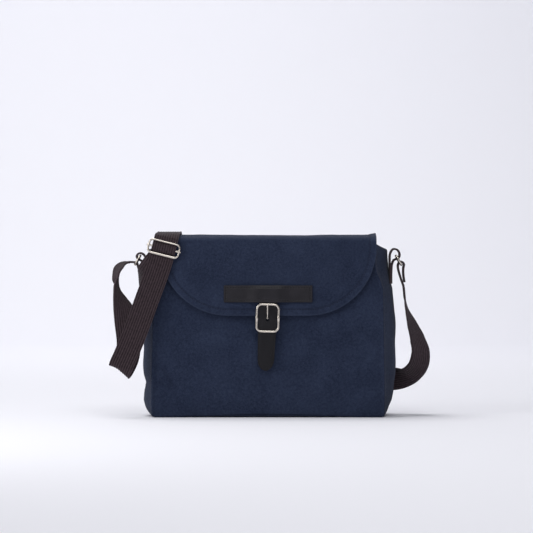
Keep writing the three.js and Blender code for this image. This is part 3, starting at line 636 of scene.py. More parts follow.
# %% Flap
FLAP_SIDE = [           # y and z of the middle of the canvas, from the back seam to the fold
    (0.0432, 0.2184), (0.04, 0.22), (0.037, 0.2211), (0.032, 0.2228), (0.027, 0.224),
    (0.016, 0.2249), (0.005, 0.2252), (-0.009, 0.225), (-0.023, 0.2246), (-0.038, 0.2234),
    (-0.044, 0.2223), (-0.0471, 0.2208), (-0.0487, 0.2191), (-0.0493, 0.2172),
]
flap_low, flap_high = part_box("flap_front_canvas")
FLAP_HALF = flap_high.x
FLAP_CORNER = 0.085
CORNER_TOP = flap_low.z + FLAP_CORNER
FLAP_FACE = flap_low.y + CANVAS / 2
ROWS_OVER, ROWS_DOWN, ROWS_CORNER = 52, 3, 64


def flap_side(t):
    """A point of the flap's line in side view, t from 0 at the back seam to 1 at the fold."""
    line = np.array(FLAP_SIDE)
    along = np.concatenate([[0], np.cumsum(np.linalg.norm(np.diff(line, axis=0), axis=1))])
    return [float(np.interp(t * along[-1], along, line[:, k])) for k in (0, 1)], along[-1]


def flap_flat(u, v, inset=0.0):
    """The place on the flat cut: across, down from the back seam; and the distance to the edge."""
    rows = ROWS_OVER + ROWS_DOWN + ROWS_CORNER
    row = v * rows
    over = flap_side(0)[1]
    half = FLAP_HALF - inset
    if row <= ROWS_OVER:
        down = over * row / ROWS_OVER
        return (2 * u - 1) * half, down, half * (1 - abs(2 * u - 1)), None
    fold = FLAP_SIDE[-1][1]
    if row <= ROWS_OVER + ROWS_DOWN:
        z = fold + (CORNER_TOP - fold) * (row - ROWS_OVER) / ROWS_DOWN
        wide = half
    else:
        angle = math.pi / 2 * (row - ROWS_OVER - ROWS_DOWN) / ROWS_CORNER
        z = CORNER_TOP - (FLAP_CORNER - inset) * math.sin(angle)
        wide = FLAP_HALF - FLAP_CORNER + (FLAP_CORNER - inset) * math.cos(angle)
    x = (2 * u - 1) * wide
    inner = FLAP_HALF - FLAP_CORNER
    if z < CORNER_TOP and abs(x) > inner:
        edge = FLAP_CORNER - inset - math.hypot(abs(x) - inner, CORNER_TOP - z)
    elif z < CORNER_TOP:
        edge = z - flap_low.z - inset
    else:
        edge = half - abs(x)
    return x, over + fold - z, edge, z


print("over the top", round(flap_side(0)[1], 4), "m")

# %% [markdown]
# Over the top the flap follows its line in side view, and down the front it hangs in a plane
# that lies on the bag. Its corners flare a little, as cloth does where nothing holds it.

# %% The flap over the bag
def flap_point(u, v, inset=0.0, depth=0.0):
    """A point of the flap, depth metres inside the canvas's middle."""
    x, down, edge, z = flap_flat(u, v, inset)
    soft = sag(x * 1.3 + 2, down, down) * min(1, edge / 0.02)
    band = 0.0004 * (1 - clamp((edge - 0.0072) / 0.0016)) - 0.00035 * hill(edge - 0.0083, 0.0012)
    if z is None:
        over = flap_side(0)[1]
        (y, height), _ = flap_side(down / over)
        (y1, z1), _ = flap_side(min(1, down / over + 0.02))
        (y0, z0), _ = flap_side(max(0, down / over - 0.02))
        out = Vector((0, z1 - z0, y0 - y1)).normalized()
        lift = 0.0022 * max(0.0, (abs(x) - 0.115) / 0.02) ** 2 * math.sin(math.pi * down / over) ** 2
        return Vector((x, y, height)) + out * (0.6 * soft + lift + (band if depth == 0 else 0) - depth)
    face = FLAP_FACE + (0.0008 if z > 0.21 else 0.0008 * max(0, (z - 0.17) / 0.04))
    flare = 0.0012 * hill(edge, 0.012)
    held = 0.35 if abs(x) < 0.06 and z < 0.17 else 1.0
    lift = max(-0.0003, soft * held) + (band if depth == 0 else 0) + flare
    return Vector((x, face - lift + depth, z))


flap_rows = ROWS_OVER + ROWS_DOWN + ROWS_CORNER
flap_length = flap_side(0)[1] + FLAP_SIDE[-1][1] - flap_low.z
FLAT = (2 * FLAP_HALF, flap_length)
flap = grid_sheet("flap_canvas", 150, flap_rows, FLAT, flap_point)
print("flap", len(flap.data.vertices), "points")

# %% [markdown]
# The hem's stitches need to know how far each point is from the edge and how far along it.
# Both are kept as numbers on the mesh, which the finish reads later.

# %% The flap's hem
def keep_values(piece, **kept):
    """Keeps a number for each point, by name, for the finishes to read."""
    for name, values in kept.items():
        piece.data.attributes.new(name, "FLOAT", "POINT").data.foreach_set("value", values)


def mark_edge(piece, columns, rows, inset=0.0):
    """Keeps each point's distance to the flap's edge and its way along that edge, for the stitches."""
    edge, run = [], []
    for vert in piece.data.vertices:
        row, column = divmod(vert.index, columns + 1)
        x, down, gap, z = flap_flat(column / columns, row / rows, inset)
        edge.append(gap)
        inner = FLAP_HALF - FLAP_CORNER
        if z is None or z > CORNER_TOP:
            run.append(down)
        else:
            start = flap_side(0)[1] + FLAP_SIDE[-1][1] - CORNER_TOP
            turned = math.atan2(CORNER_TOP - z, max(1e-6, abs(x) - inner))
            run.append(start + FLAP_CORNER * turned + max(0.0, inner - abs(x)))
    keep_values(piece, edge=edge, run=run)


mark_edge(flap, 150, flap_rows)
thicken(flap, CANVAS, edge=0.0006)
print("stitches keep", len(flap.data.attributes), "attributes")

# %% [markdown]
# The flap's root is sewn to the back panel. A narrow band covers that seam and bends there when
# the flap opens, so no gap shows at the hinge.

# %% Root band
ROOT_SIDE = [           # y and z of the band, from the back panel up over the flap's root
    (0.0445, 0.204), (0.0443, 0.21), (0.0441, 0.215), (0.0441, 0.218), (0.0437, 0.2196),
    (0.0425, 0.2204), (0.0405, 0.2213),
]


def root_point(u, v):
    y, z = (float(np.interp(v * (len(ROOT_SIDE) - 1), range(len(ROOT_SIDE)), column))
            for column in zip(*ROOT_SIDE))
    x = (2 * u - 1) * (FLAP_HALF - 0.0025)
    return Vector((x, y + max(0.0, 0.4 * sag(x, 0.05, z)) * (1 - v), z))


root = grid_sheet("flap_root_band", 130, 24, (2 * FLAP_HALF, 0.019), root_point)
thicken(root, 0.0011, edge=0.0004)
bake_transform(root, "body", "flap_top", (0, 0.0441, 0.215), (0, 0.043, 0.22))
print("root band", rounded(root.dimensions))

# %% [markdown]
# The flap's lining lies under the canvas, a little short of its edge. Both are one cloth each,
# so they blend across the fold instead of being cut there.

# %% Flap lining and fold
LINING_BACK, LINING_UNDER = 0.004, 0.0017      # short of the edge, below the canvas
flap_inside = grid_sheet("flap_lining", 110, flap_rows, FLAT,
                         lambda u, v: flap_point(u, v, LINING_BACK, LINING_UNDER))
thicken(flap_inside, LINING, edge=0.0003)
FOLD_START, FOLD_END = (0, -0.0488, 0.2212), (0, -0.0502, 0.214)
for piece, nodes in ((flap, ("flap_top_canvas", "flap_front_canvas")),
                     (flap_inside, ("flap_top_lining", "flap_front_lining"))):
    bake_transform(piece, "flap_top", "flap_front", FOLD_START, FOLD_END)
    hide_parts(*nodes)
print("flap, flat cut", rounded(FLAT))

# %% [markdown]
# The closure is bridle leather: a plate sewn over the root of a strap, and the strap through a
# roller-less buckle, with a press stud behind its tip that does the real fastening. Leather of
# 2 mm is stiff, so it stays flat and only arches a little over what lies beneath.

# %% Leather plate and closing strap
plate_low, plate_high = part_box("leather_plate")
strap_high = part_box("closure_strap")[1]
tip_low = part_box("closure_tip")[0]
frame_low, frame_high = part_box("buckle_frame")
PLATE = 0.0017
STRAP_LEATHER = 0.002
STRAP_HALF = strap_high.x
PLATE_FACE = -0.0515                # middle of the plate away from the strap
STRAP_FACE = -0.053
STITCH_INSET = 0.0027
SLOT_LOW, SLOT_HIGH, SLOT_HALF = 0.1196, 0.1332, 0.0016


def notch(gap, width=0.0009, depth=0.00035):
    """The groove that a row of stitches lies in."""
    return depth * hill(gap, width)


def plate_point(u, v):
    x = plate_low.x + u * (plate_high.x - plate_low.x)
    z = plate_low.z + v * (plate_high.z - plate_low.z)
    edge = min(x - plate_low.x, plate_high.x - x, z - plate_low.z, plate_high.z - z)
    t = clamp((abs(x) - STRAP_HALF - 0.0008) / 0.018)
    raised = 1 - t * t * (3 - 2 * t)
    lift = raised * 0.0036 * (0.3 + 0.7 * min(1, (plate_high.z - z) / 0.004))
    soft = 0.0002 * noise.noise(Vector((x * 60, 0, z * 60)))
    return Vector((x, PLATE_FACE - lift - soft + notch(edge - STITCH_INSET), z))


plate = grid_sheet("plate_leather", 200, 38, (0.11, 0.021), plate_point)
thicken(plate, PLATE, edge=0.0005)


def mark_plate(piece):
    """Distance to the stitch rows, and the way along them, for the thread."""
    edge, run = [], []
    for vert in piece.data.vertices:
        x, z = vert.co.x, vert.co.z
        sides = (x - plate_low.x, plate_high.x - x, z - plate_low.z, plate_high.z - z)
        near = min(sides)
        edge.append(near)
        run.append(z if near in sides[:2] else x)
    keep_values(piece, edge=edge, run=run)


mark_plate(plate)
print("plate", rounded(plate.dimensions))

# %% [markdown]
# The strap is one grid that narrows to a rounded tip. It arches over the buckle's centre bar,
# and has a slot there that the prong comes through.

# %% Closing strap
STRAP_TOP, STRAP_BOTTOM = strap_high.z - 0.003, tip_low.z
POINT_LENGTH = 0.016


def strap_point(u, v):
    z = STRAP_TOP + v * (STRAP_BOTTOM - STRAP_TOP)
    below = clamp((STRAP_BOTTOM + POINT_LENGTH - z) / POINT_LENGTH)
    half = (STRAP_HALF - 0.0014 * clamp((0.112 - z) / 0.05)) * (1 - below ** 2.6) ** 0.5
    x = (2 * u - 1) * max(half, 0.0006)
    middle = -0.0031 * clamp((0.142 - z) / 0.08)
    arch = 0.0011 * hill(z - 0.1235, 0.009) * (1 - (2 * u - 1) ** 2 * 0.4)
    lift = 0.0006 * max(0.0, (0.1 - z) / 0.04) ** 1.5
    edge = max(half, 0.0006) - abs(x)
    groove = 0.00022 * hill(edge - 0.0016, 0.0006) if z < 0.141 else 0
    y = STRAP_FACE - arch - lift + groove
    return Vector((x + middle * (1 if z < 0.142 else 0), y, z))


def strap_slot(u, v):
    z = STRAP_TOP + v * (STRAP_BOTTOM - STRAP_TOP)
    return abs(2 * u - 1) * STRAP_HALF < SLOT_HALF and SLOT_LOW < z < SLOT_HIGH


closing = grid_sheet("closing_strap", 32, 112, (2 * STRAP_HALF, STRAP_TOP - STRAP_BOTTOM),
                     strap_point, strap_slot)
thicken(closing, STRAP_LEATHER, edge=0.0004, rim=1)
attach(plate, "flap_front")
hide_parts("leather_plate")
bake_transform(closing, "flap_front", "strap_tip", (0, STRAP_FACE, 0.107), (0, STRAP_FACE, 0.0985))
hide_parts("closure_strap", "closure_tip")
print("plate and strap", rounded(plate.dimensions), rounded(closing.dimensions))

# %% [markdown]
# Rings, buckle and slider are bent from round steel wire and plated. A bent wire is a circle
# carried along a line, so each one is a row of circles joined to the next by bridging their
# edges. The radius may change along the line, as where
# the buckle swells round the ends of its centre bar.

# %% Wire fittings
def rounded_loop(width, height, corner, arc=8):
    """Points of a rounded rectangle about the origin, anticlockwise from the right side's middle."""
    points = [(width / 2, 0.0)]
    for sx, sy, start in ((1, 1, 0), (-1, 1, 90), (-1, -1, 180), (1, -1, 270)):
        for i in range(arc + 1):
            a = math.radians(start + 90 * i / arc)
            points.append((sx * (width / 2 - corner) + corner * math.cos(a),
                           sy * (height / 2 - corner) + corner * math.sin(a)))
        if start in (0, 180):
            points.append((0.0, sy * height / 2))
        if start == 90:
            points.append((-width / 2, 0.0))
    return points


def wire(name, points, radii, closed=True, sides=14):
    """A round wire of varying radius through points."""
    bm = bmesh.new()
    rims = []
    total = len(points)
    for i, point in enumerate(points):
        before = points[(i - 1) % total] if closed or i else points[0]
        after = points[(i + 1) % total] if closed or i < total - 1 else points[-1]
        ahead = (Vector(after) - Vector(before)).normalized()
        side = ahead.cross(FRONT).normalized() if abs(ahead.dot(FRONT)) < 0.95 else Vector((1, 0, 0))
        up = side.cross(ahead)
        turn = Matrix((side, up, ahead)).transposed().to_4x4()
        made = bmesh.ops.create_circle(bm, cap_ends=False, segments=sides, radius=radii[i],
                                       matrix=Matrix.Translation(point) @ turn)
        rims.append(list({e for v in made["verts"] for e in v.link_edges}))
    pairs = list(zip(rims, rims[1:])) + ([(rims[-1], rims[0])] if closed else [])
    for a, b in pairs:
        bmesh.ops.bridge_loops(bm, edges=a + b)
    if not closed:
        bmesh.ops.holes_fill(bm, edges=rims[0] + rims[-1], sides=0)
    bmesh.ops.recalc_face_normals(bm, faces=bm.faces)
    return put_in_scene(name, bm)


def placed(loop, middle, right, up):
    """A flat loop laid about a middle point."""
    return [middle + x * right + y * up for x, y in loop]


def even(points, closed=True, step=0.0012):
    """The same line with its points evenly spaced."""
    p = np.array([list(q) for q in points] + ([list(points[0])] if closed else []))
    along = np.concatenate([[0], np.cumsum(np.linalg.norm(np.diff(p, axis=0), axis=1))])
    at = np.linspace(0, along[-1], int(along[-1] / step) + 1)
    at = at[:-1] if closed else at
    return [Vector([np.interp(t, along, p[:, k]) for k in range(3)]) for t in at]


print("a wire has 14 sides")

# %% [markdown]
# The buckle is a wire frame with a centre bar across it and a prong round that bar. It hangs
# slightly askew, as a used one does.

# %% Buckle
LEAN = math.radians(1.5)
BUCKLE_WIRE = 0.003
CENTRE_BAR = 0.123
frame_middle = Vector((
    (frame_low.x + frame_high.x) / 2 - 0.0006, -0.0548, (frame_low.z + frame_high.z) / 2))
frame_width = frame_high.x - frame_low.x - BUCKLE_WIRE
frame_height = frame_high.z - frame_low.z - BUCKLE_WIRE
lean_up = Vector((math.sin(LEAN), 0, math.cos(LEAN)))
lean_right = Vector((math.cos(LEAN), 0, -math.sin(LEAN)))
buckle_loop = rounded_loop(frame_width, frame_height, 0.006)
buckle_line = even(placed(buckle_loop, frame_middle, lean_right, lean_up))
swell = [
    BUCKLE_WIRE / 2 * (1 + 0.28 * hill(p.z - CENTRE_BAR, 0.0022)) for p in buckle_line
]
buckle = wire("buckle_wire", buckle_line, swell)
bar_ends = [Vector((s * frame_width / 2 - 0.0006, -0.0507, CENTRE_BAR)) for s in (-1, 1)]
bar_line = [Vector((-frame_width / 2, -0.0545, CENTRE_BAR)), *even(bar_ends, closed=False, step=0.003),
            Vector((frame_width / 2, -0.0545, CENTRE_BAR))]
bar = wire("buckle_bar", bar_line, [0.0011] * len(bar_line), closed=False)
PRONG = [(-0.0489, 0.1226), (-0.049, 0.1214), (-0.05, 0.1209), (-0.0517, 0.1211), (-0.0525, 0.1222),
         (-0.0529, 0.125), (-0.0534, 0.128), (-0.0545, 0.1308), (-0.0566, 0.1338), (-0.0584, 0.1372),
         (-0.0588, 0.1404)]
prong_line = even([Vector((-0.0008, y, z)) for y, z in PRONG], closed=False, step=0.0008)
prong = wire("buckle_prong", prong_line,
             [0.00105 * (1 - 0.35 * max(0, i / len(prong_line) - 0.6)) for i in range(len(prong_line))],
             closed=False)
for piece, body, node in ((buckle, "flap_front", "buckle_frame"), (bar, "flap_front", None),
                          (prong, "tongue", "buckle_tongue")):
    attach(piece, body)
    if node:
        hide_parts(node)


print("buckle", rounded(buckle.dimensions))

# %% [markdown]
# Each ring is a flat oblong loop that leans outwards with the webbing that pulls on it.

# %% Rings
rings = []
for side, sign, body in RINGS:
    low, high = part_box(side + "_ring")
    down = Vector((sign * math.sin(RING_TILT), 0, -math.cos(RING_TILT)))
    middle = ring_joint[body] + RING_PITCH / 2 * down
    loop = rounded_loop(high.y - low.y - RING_WIRE, RING_PITCH, 0.0045)
    line = even(placed(loop, middle, Vector((0, 1, 0)), down))
    ring = wire(side + "_ring_wire", line, [RING_WIRE / 2] * len(line))
    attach(ring, body)
    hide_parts(side + "_ring")
    rings.append(ring)


print(len(rings), "rings")

# %% [markdown]
# The slider is a wire frame, thicker along its lower bar, with a riveted bar across its middle
# that the webbing passes over.

# %% Slider
SLIDER_WIRE = 0.0024
slider_loop = rounded_loop(0.0385, 0.0165, 0.005)
slider_line = even(placed(slider_loop, SLIDER_MIDDLE, SLIDER_ACROSS, SLIDER_UP))
slider = wire("slider_wire", slider_line, [
    SLIDER_WIRE / 2 + 0.0005 * clamp((-0.0045 - (p - SLIDER_MIDDLE).dot(SLIDER_UP)) / 0.002)
    for p in slider_line])
bar_across = even([SLIDER_MIDDLE + s * 0.0216 * SLIDER_ACROSS for s in (-1, 1)], closed=False, step=0.0009)
slider_bar = wire("slider_middle_bar", bar_across, [
    0.0011 + 0.0007 * hill(abs((p - SLIDER_MIDDLE).dot(SLIDER_ACROSS)) - 0.0193, 0.0016)
    for p in bar_across], closed=False)
for piece, node in ((slider, "slider_frame"), (slider_bar, "slider_bar")):
    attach(piece, "strap_over")
    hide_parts(node)
print("slider", rounded(slider.dimensions))

# %% [markdown]
# Each ring hangs in a tab of the same webbing, a loop round the ring's upper bar with both ends
# sewn flat to the gusset.

# %% Tabs
TAB_LINES = {           # x and z of the middle of the webbing, outwards
    "right": [
        (0.152, 0.165), (0.1522, 0.18), (0.1518, 0.192), (0.1526, 0.203), (0.1565, 0.2082),
        (0.1615, 0.2071), (0.1643, 0.202), (0.1632, 0.1973), (0.1598, 0.1956), (0.1568, 0.194),
        (0.1548, 0.189), (0.154, 0.18), (0.1539, 0.165),
    ],
    "left": [
        (0.152, 0.165), (0.1523, 0.18), (0.1524, 0.19), (0.1532, 0.1975), (0.156, 0.2018),
        (0.1603, 0.2031), (0.1636, 0.201), (0.1639, 0.1977), (0.1614, 0.1953), (0.158, 0.193),
        (0.1557, 0.1885), (0.1545, 0.18), (0.1542, 0.165),
    ],
}
tabs = []
for side, sign in (("left", -1), ("right", 1)):
    stations = [[sign * (x + 0.0003), 0, z, 0, sign, 0] for x, z in TAB_LINES[side]]
    tab = webbing(side + "_tab_webbing", *smooth_path(stations, 0.0012))
    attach(tab, "body")
    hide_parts(side + "_tab")
    tabs.append(tab)


print(len(tabs), "tabs")

# %% [markdown]
# The strap crosses three moving things: both rings, and the run that is laid aside when the
# flap opens. Each stretch blends from one to the next, as webbing bends and doesn't break.

# %% Joints of the strap
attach(straps["strap_sewn_end"], "ring_right")
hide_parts("strap_right_end")
BLENDS = {
    "strap_beside_bag": ("ring_right", "body", (0.1696, 0, 0.161), (0.18, 0, 0.115), ["strap_back_run"]),
    "strap_up_the_back": ("body", "strap_over", (-0.124, 0.06, 0.2), (-0.124, 0.0505, 0.2),
                          ["strap_over_flap"]),
    "strap_down_the_front": ("strap_over", "body", (-0.1776, -0.0666, 0.085), (-0.182, -0.066, 0.06),
                             ["strap_slider_wrap", "strap_diagonal"]),
    "strap_left_bend": ("body", "ring_left", (-0.184, 0, 0.166), (-0.184, 0, 0.189),
                        ["strap_left_loop", "strap_left_bight"]),
    "strap_behind": ("body", "strap_over", (-0.16, -0.02, 0.168), (-0.141, -0.0516, 0.184),
                     ["strap_inner_run"]),
}
for name, (a, b, start, end, nodes) in BLENDS.items():
    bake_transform(straps[name], a, b, start, end)
    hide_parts(*nodes)


print(len(BLENDS), "stretches bend at a joint")

# %% Every third point along four stretches of the strap
def declare_strap(name):
    a, b = STRETCHES[name]
    line = strap_line[a:b + 1]
    line[::3].tolist() + [line[-1].tolist()]


declare_strap("strap_beside_bag")
declare_strap("strap_up_the_back")
declare_strap("strap_down_the_front")
declare_strap("strap_left_bend")

# %% [markdown]
# Finishes are small sums of noise and waves. Written as maths on sockets they stay readable,
# so a little class stands for a socket and turns each operator into a Math node.

# %% Maths on sockets
class Socket:
    """A node's output; +, -, * and / add Math nodes to its tree."""

    def __init__(self, tree, output=None):
        self.tree, self.output = tree, output

    def node(self, kind, settings=(), inputs=(), out=0):
        made = self.tree.nodes.new(kind)
        for key, value in dict(settings).items():
            setattr(made, key, value)
        for key, value in dict(inputs).items():
            if isinstance(value, Socket):
                self.tree.links.new(value.output, made.inputs[key])
            else:
                made.inputs[key].default_value = value
        return Socket(self.tree, made.outputs[out])

    def cloth(self):
        """The flat cut's own measure, in metres."""
        return self.node("ShaderNodeUVMap", {"uv_map": "cloth"})

    def place(self):
        """The place on the piece, in metres."""
        return self.node("ShaderNodeTexCoord", out=3)

    def kept(self, name):
        """A number kept for each point of the mesh."""
        return self.node("ShaderNodeAttribute", {"attribute_name": name}, out=2)

    def math(self, operation, *values):
        return self.node("ShaderNodeMath", {"operation": operation}, enumerate(values))

    def __add__(self, other):
        return self.math("ADD", self, other)

    def __sub__(self, other):
        return self.math("SUBTRACT", self, other)

    def __rsub__(self, other):
        return self.math("SUBTRACT", other, self)

    def __mul__(self, other):
        return self.math("MULTIPLY", self, other)

    def __truediv__(self, other):
        return self.math("DIVIDE", self, other)

    def __rtruediv__(self, other):
        return self.math("DIVIDE", other, self)

    __radd__, __rmul__ = __add__, __mul__

    def wave(self, pitch):
        """From -1 to 1 and back over each pitch, in metres."""
        return self.math("SINE", self * (2 * math.pi / pitch))

    def near(self, value, reach):
        """1 at the value, falling to 0 a reach away."""
        return 1 - self.math("SMOOTH_MIN", self.math("ABSOLUTE", self - value) / reach, 1.0, 0.2)

    def xyz(self, out):
        return self.node("ShaderNodeSeparateXYZ", (), {0: self}, out)

    def noise(self, scale, detail=3.0, roughness=0.55):
        return self.node("ShaderNodeTexNoise", (), {
            "Vector": self, "Scale": scale, "Detail": detail, "Roughness": roughness})

    def mix(self, dark, light):
        """Between two colours, by this socket."""
        made = self.tree.nodes.new("ShaderNodeMix")
        made.data_type = "RGBA"
        self.tree.links.new(self.output, made.inputs[0])
        for slot, colour in ((6, dark), (7, light)):
            if isinstance(colour, Socket):
                self.tree.links.new(colour.output, made.inputs[slot])
            else:
                made.inputs[slot].default_value = colour
        return Socket(self.tree, made.outputs[2])

    def spread(self, low, high):
        """Stretches low..high to 0..1, clamped."""
        return self.node("ShaderNodeMapRange", (), {0: self, 1: low, 2: high})


print("operators", [n for n in vars(Socket) if n.startswith("__r")])

# %% [markdown]
# A finish starts from the Principled shader. Colours are given as 0 to 255 numbers and turned
# into light, because that is what the shader works in.

# %% Colours and materials
def paint(red, green, blue):
    """A colour given in the usual 0 to 255 numbers, as light."""
    light = [((c / 255 + 0.055) / 1.055) ** 2.4 if c > 10 else c / 3294.6 for c in (red, green, blue)]
    return (*light, 1)


def material(name, constants):
    """A new material, its shader and a socket to start its maths from."""
    made = bpy.data.materials.new(name)
    made.use_nodes = True
    shader = made.node_tree.nodes["Principled BSDF"]
    for key, value in constants.items():
        shader.inputs[key].default_value = value
    return made, shader, Socket(made.node_tree)


def connect(made, shader, values, height=None, depth=0.0003, strength=1.0):
    for key, value in values.items():
        made.node_tree.links.new(value.output, shader.inputs[key])
    if height:
        bump = height.node("ShaderNodeBump", (), {
            "Strength": strength, "Distance": depth, "Height": height})
        made.node_tree.links.new(bump.output, shader.inputs["Normal"])
    return made


print("white is", rounded(paint(255, 255, 255)))

# %% [markdown]
# Piece-washed canvas: the dye has rubbed off unevenly in soft clouds, with finer flecks where
# thick threads stand up. The weave is two sets of waves at right angles. Along the flap's edge
# a groove and small stitches show where the hem is sewn, and the groove is painted darker as
# painted shade.

# %% Canvas
def canvas_finish(name, dark, light, stitched=False):
    made, shader, start = material(name, {"Roughness": 0.92, "Specular IOR Level": 0.06,
                                          "Sheen Weight": 0.06, "Sheen Roughness": 0.5})
    cloth = start.cloth()
    place = start.place()
    clouds = place.noise(26, 4, 0.6).spread(0.3, 0.7)
    flecks = place.noise(340, 4, 0.75).spread(0.32, 0.68)
    slubs = place.noise(1100, 2, 0.6).spread(0.32, 0.68)
    weave = cloth.xyz(0).wave(0.0011) * cloth.xyz(1).wave(0.0011)
    shade = clouds * 0.3 + flecks * 0.42 + slubs * 0.28
    colour = shade.mix(dark, light)
    height = weave * 0.35 + flecks * 0.5 + slubs * 0.4
    if stitched:
        edge = start.kept("edge")
        run = start.kept("run")
        thread = edge.near(0.0072, 0.0009) * run.wave(0.0034).spread(-0.1, 0.4)
        groove = edge.near(0.0084, 0.0016)
        rim = edge.near(0.0004, 0.0016)
        # Painted shade: the hem's groove is painted darker.
        colour = (groove * 0.35).mix(colour, paint(26, 31, 47))
        colour = (thread * 0.6).mix(colour, paint(20, 24, 38))
        colour = (rim * 0.35).mix(colour, paint(58, 66, 86))
        height = height + thread * 1.6 - groove * 2.2
    return connect(made, shader, {"Base Color": colour}, height, 0.0002, 0.7)


CANVAS_DARK, CANVAS_LIGHT = paint(22, 29, 47), paint(53, 62, 84)
canvas_body = canvas_finish("canvas", CANVAS_DARK, CANVAS_LIGHT)
canvas_flap = canvas_finish("canvas of the flap", CANVAS_DARK, CANVAS_LIGHT, stitched=True)
lining_cloth = canvas_finish("lining", paint(44, 50, 66), paint(58, 65, 82))
print("canvas", len(canvas_flap.node_tree.nodes), "nodes")

# %% [markdown]
# The webbing is dark brown cotton. Its ribs are already shape; the finish paints their tops
# lighter, as painted highlight, and the hollows between them darker, as painted shade, and adds
# the cross threads between them and a little wear on top.

# %% Webbing finish
made, shader, start = material("webbing", {
    "Roughness": 0.85, "Specular IOR Level": 0.08, "Sheen Weight": 0.08})
cloth = start.cloth()
across, along = cloth.xyz(0), cloth.xyz(1)
# Painted highlight on the rib tops and painted shade between them, lined up with the ribs' shape.
rib_highlight_and_shade = across.math("ABSOLUTE", across.math("COSINE", across * (math.pi * RIBS / (WEB_WIDTH - 0.003))))
picks = along.wave(0.0016) * across.wave(0.003)
wear = cloth.noise(300, 3, 0.65).spread(0.3, 0.7)
shade = rib_highlight_and_shade * 0.65 + wear * 0.35 + picks * 0.1 - 0.1
# The darker and lighter colours carry the painted shade between the ribs and the painted highlight on their
# tops, along with the wear and the cross threads.
web_finish = connect(made, shader, {"Base Color": shade.mix(paint(27, 21, 24), paint(76, 64, 69))},
                     picks * 0.5 + wear * 0.4 + rib_highlight_and_shade * 0.8, 0.0002, 0.8)
print("webbing", len(web_finish.node_tree.nodes), "nodes")

# %% [markdown]
# Bridle leather is finished with wax: dark, nearly smooth, with a fine grain and soft highlights
# that break up where it has been handled. The cut edges are painted a little lighter. The
# thread is dark too, and sits in the groove that the mesh already has.

# %% Leather finish
def leather_finish(name, dark, light, stitched=False):
    made, shader, start = material(name, {"Specular IOR Level": 0.22, "Coat Weight": 0.03,
                                          "Coat Roughness": 0.3})
    place = start.place()
    grain = place.noise(1400, 3, 0.6)
    handled = place.noise(60, 3).spread(0.35, 0.7)
    colour = (handled * 0.6 + grain * 0.4).mix(dark, light)
    height = grain
    if stitched:
        edge = start.kept("edge")
        run = start.kept("run")
        holes = edge.near(STITCH_INSET, 0.0013) * run.wave(0.0034).spread(-0.1, 0.4)
        colour = (holes * 0.95).mix(colour, paint(9, 9, 11))
        height = height - holes * 3.0
    return connect(made, shader, {"Base Color": colour, "Roughness": handled * 0.12 + 0.4},
                   height, 0.0001, 0.6)


plate_finish = leather_finish("plate leather", paint(27, 26, 30), paint(40, 38, 43), stitched=True)
strap_finish = leather_finish("strap leather", paint(17, 16, 20), paint(26, 25, 29))
edge_finish, _, _ = material("painted edge", {"Base Color": paint(58, 52, 54), "Roughness": 0.5})
print("leather", len(plate_finish.node_tree.nodes), "nodes")

# %% [markdown]
# Nickel plating is warm and fairly bright, with a hint of brushing from polishing. The press
# stud is plain steel. The base board is black fibreboard, out of sight under the lining.

# %% Metal and board
made, shader, start = material("nickel", {"Metallic": 1.0, "Base Color": paint(214, 206, 196)})
polish = start.place().noise(500, 2)
nickel = connect(made, shader, {"Roughness": polish * 0.1 + 0.2}, polish, 0.00005, 0.3)
steel, _, _ = material("steel", {"Metallic": 1.0, "Base Color": paint(150, 148, 146), "Roughness": 0.35})
board, _, _ = material("board", {"Base Color": paint(34, 33, 34), "Roughness": 0.8})
print("metals and board made")

# %% [markdown]
# A piece's finishes go into its material slots in order. The closing strap has two, one for its
# faces and one for its painted edge.

# %% Who wears what
def wears(piece, *finishes):
    piece.data.materials.clear()
    for finish in finishes:
        piece.data.materials.append(finish)


for piece, finish in (
    (shell, canvas_body), (base, canvas_body), (flap, canvas_flap), (root, canvas_body),
    (lining, lining_cloth), (lining_base, lining_cloth), (pocket, lining_cloth),
    (flap_inside, lining_cloth), (plate, plate_finish), (buckle, nickel), (bar, nickel),
    (prong, nickel), (slider, nickel), (slider_bar, nickel),
):
    wears(piece, finish)
wears(closing, strap_finish, edge_finish)
for piece in (*straps.values(), *tabs):
    wears(piece, web_finish)
for piece in rings:
    wears(piece, nickel)
for node, finish in (
    ("snap_socket", steel), ("snap_washer", steel), ("snap_stud", steel), ("base_board", board),
):
    wears(bpy.data.objects[node], finish)
print(len(bpy.data.materials), "materials")

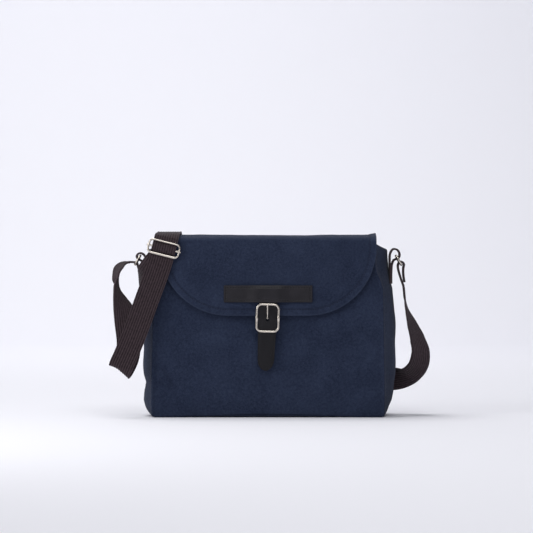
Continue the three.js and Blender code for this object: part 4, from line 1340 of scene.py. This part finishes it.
# %% [markdown]
# The bag stands on a pale paper sweep. The floor and the wall are one bent sheet, so no corner
# shows behind the bag.

# %% Studio
def sweep_point(u, v):
    x = (u - 0.5) * 7
    y = -2.6 + 5.2 * min(v / 0.7, 1)
    z = -0.0004
    if v > 0.7:
        turn = min(1, (v - 0.7) / 0.15) * math.pi / 2
        y = 2.6 + 0.8 * math.sin(turn)
        z += 0.8 * (1 - math.cos(turn)) + max(0, v - 0.85) / 0.15 * 2.4
    return Vector((x, y, z))


sweep = grid_sheet("paper_sweep", 8, 80, (7, 8), sweep_point)
paper, _, _ = material("paper", {"Base Color": paint(240, 240, 246), "Roughness": 0.9,
                                 "Specular IOR Level": 0.1})
wears(sweep, paper)
print("sweep", rounded(sweep.dimensions))

# %% [markdown]
# The key is high, to the left and slightly behind the bag, a small one stands at the left, and
# two more light the floor in front and the wall, over a dim sky that fills the shadows.

# %% Lights
def soft_light(name, place, aim, width, power, colour=(1, 1, 1)):
    lamp = bpy.data.lights.new(name, "AREA")
    lamp.shape = "DISK"
    lamp.size = width
    lamp.energy = power
    lamp.color = colour
    light = bpy.data.objects.new(name, lamp)
    bpy.context.collection.objects.link(light)
    light.location = place
    light.rotation_euler = (Vector(aim) - Vector(place)).to_track_quat("-Z", "Y").to_euler()
    return light


lights = [
    soft_light("key", (-0.6, 0.3, 2.4), (0, 0, 0.05), 1.8, 31),
    soft_light("side", (-1.0, -0.75, 0.6), (0, 0, 0.16), 0.7, 4.8),
    soft_light("front", (0.3, -2.3, 2.3), (0.2, -2.0, 0), 1.8, 28),
    soft_light("wall", (-0.5, 2.0, 2.3), (-0.2, 3.4, 0.7), 1.4, 30),
]
sky = bpy.data.worlds.new("sky")
sky.use_nodes = True
sky.node_tree.nodes["Background"].inputs["Color"].default_value = (0.94, 0.95, 1.0, 1)
sky.node_tree.nodes["Background"].inputs["Strength"].default_value = 0.27
bpy.context.scene.world = sky
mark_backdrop(sweep, *lights)

# %% Sizes and finish
low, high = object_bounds()
print("finished size", rounded(high - low))
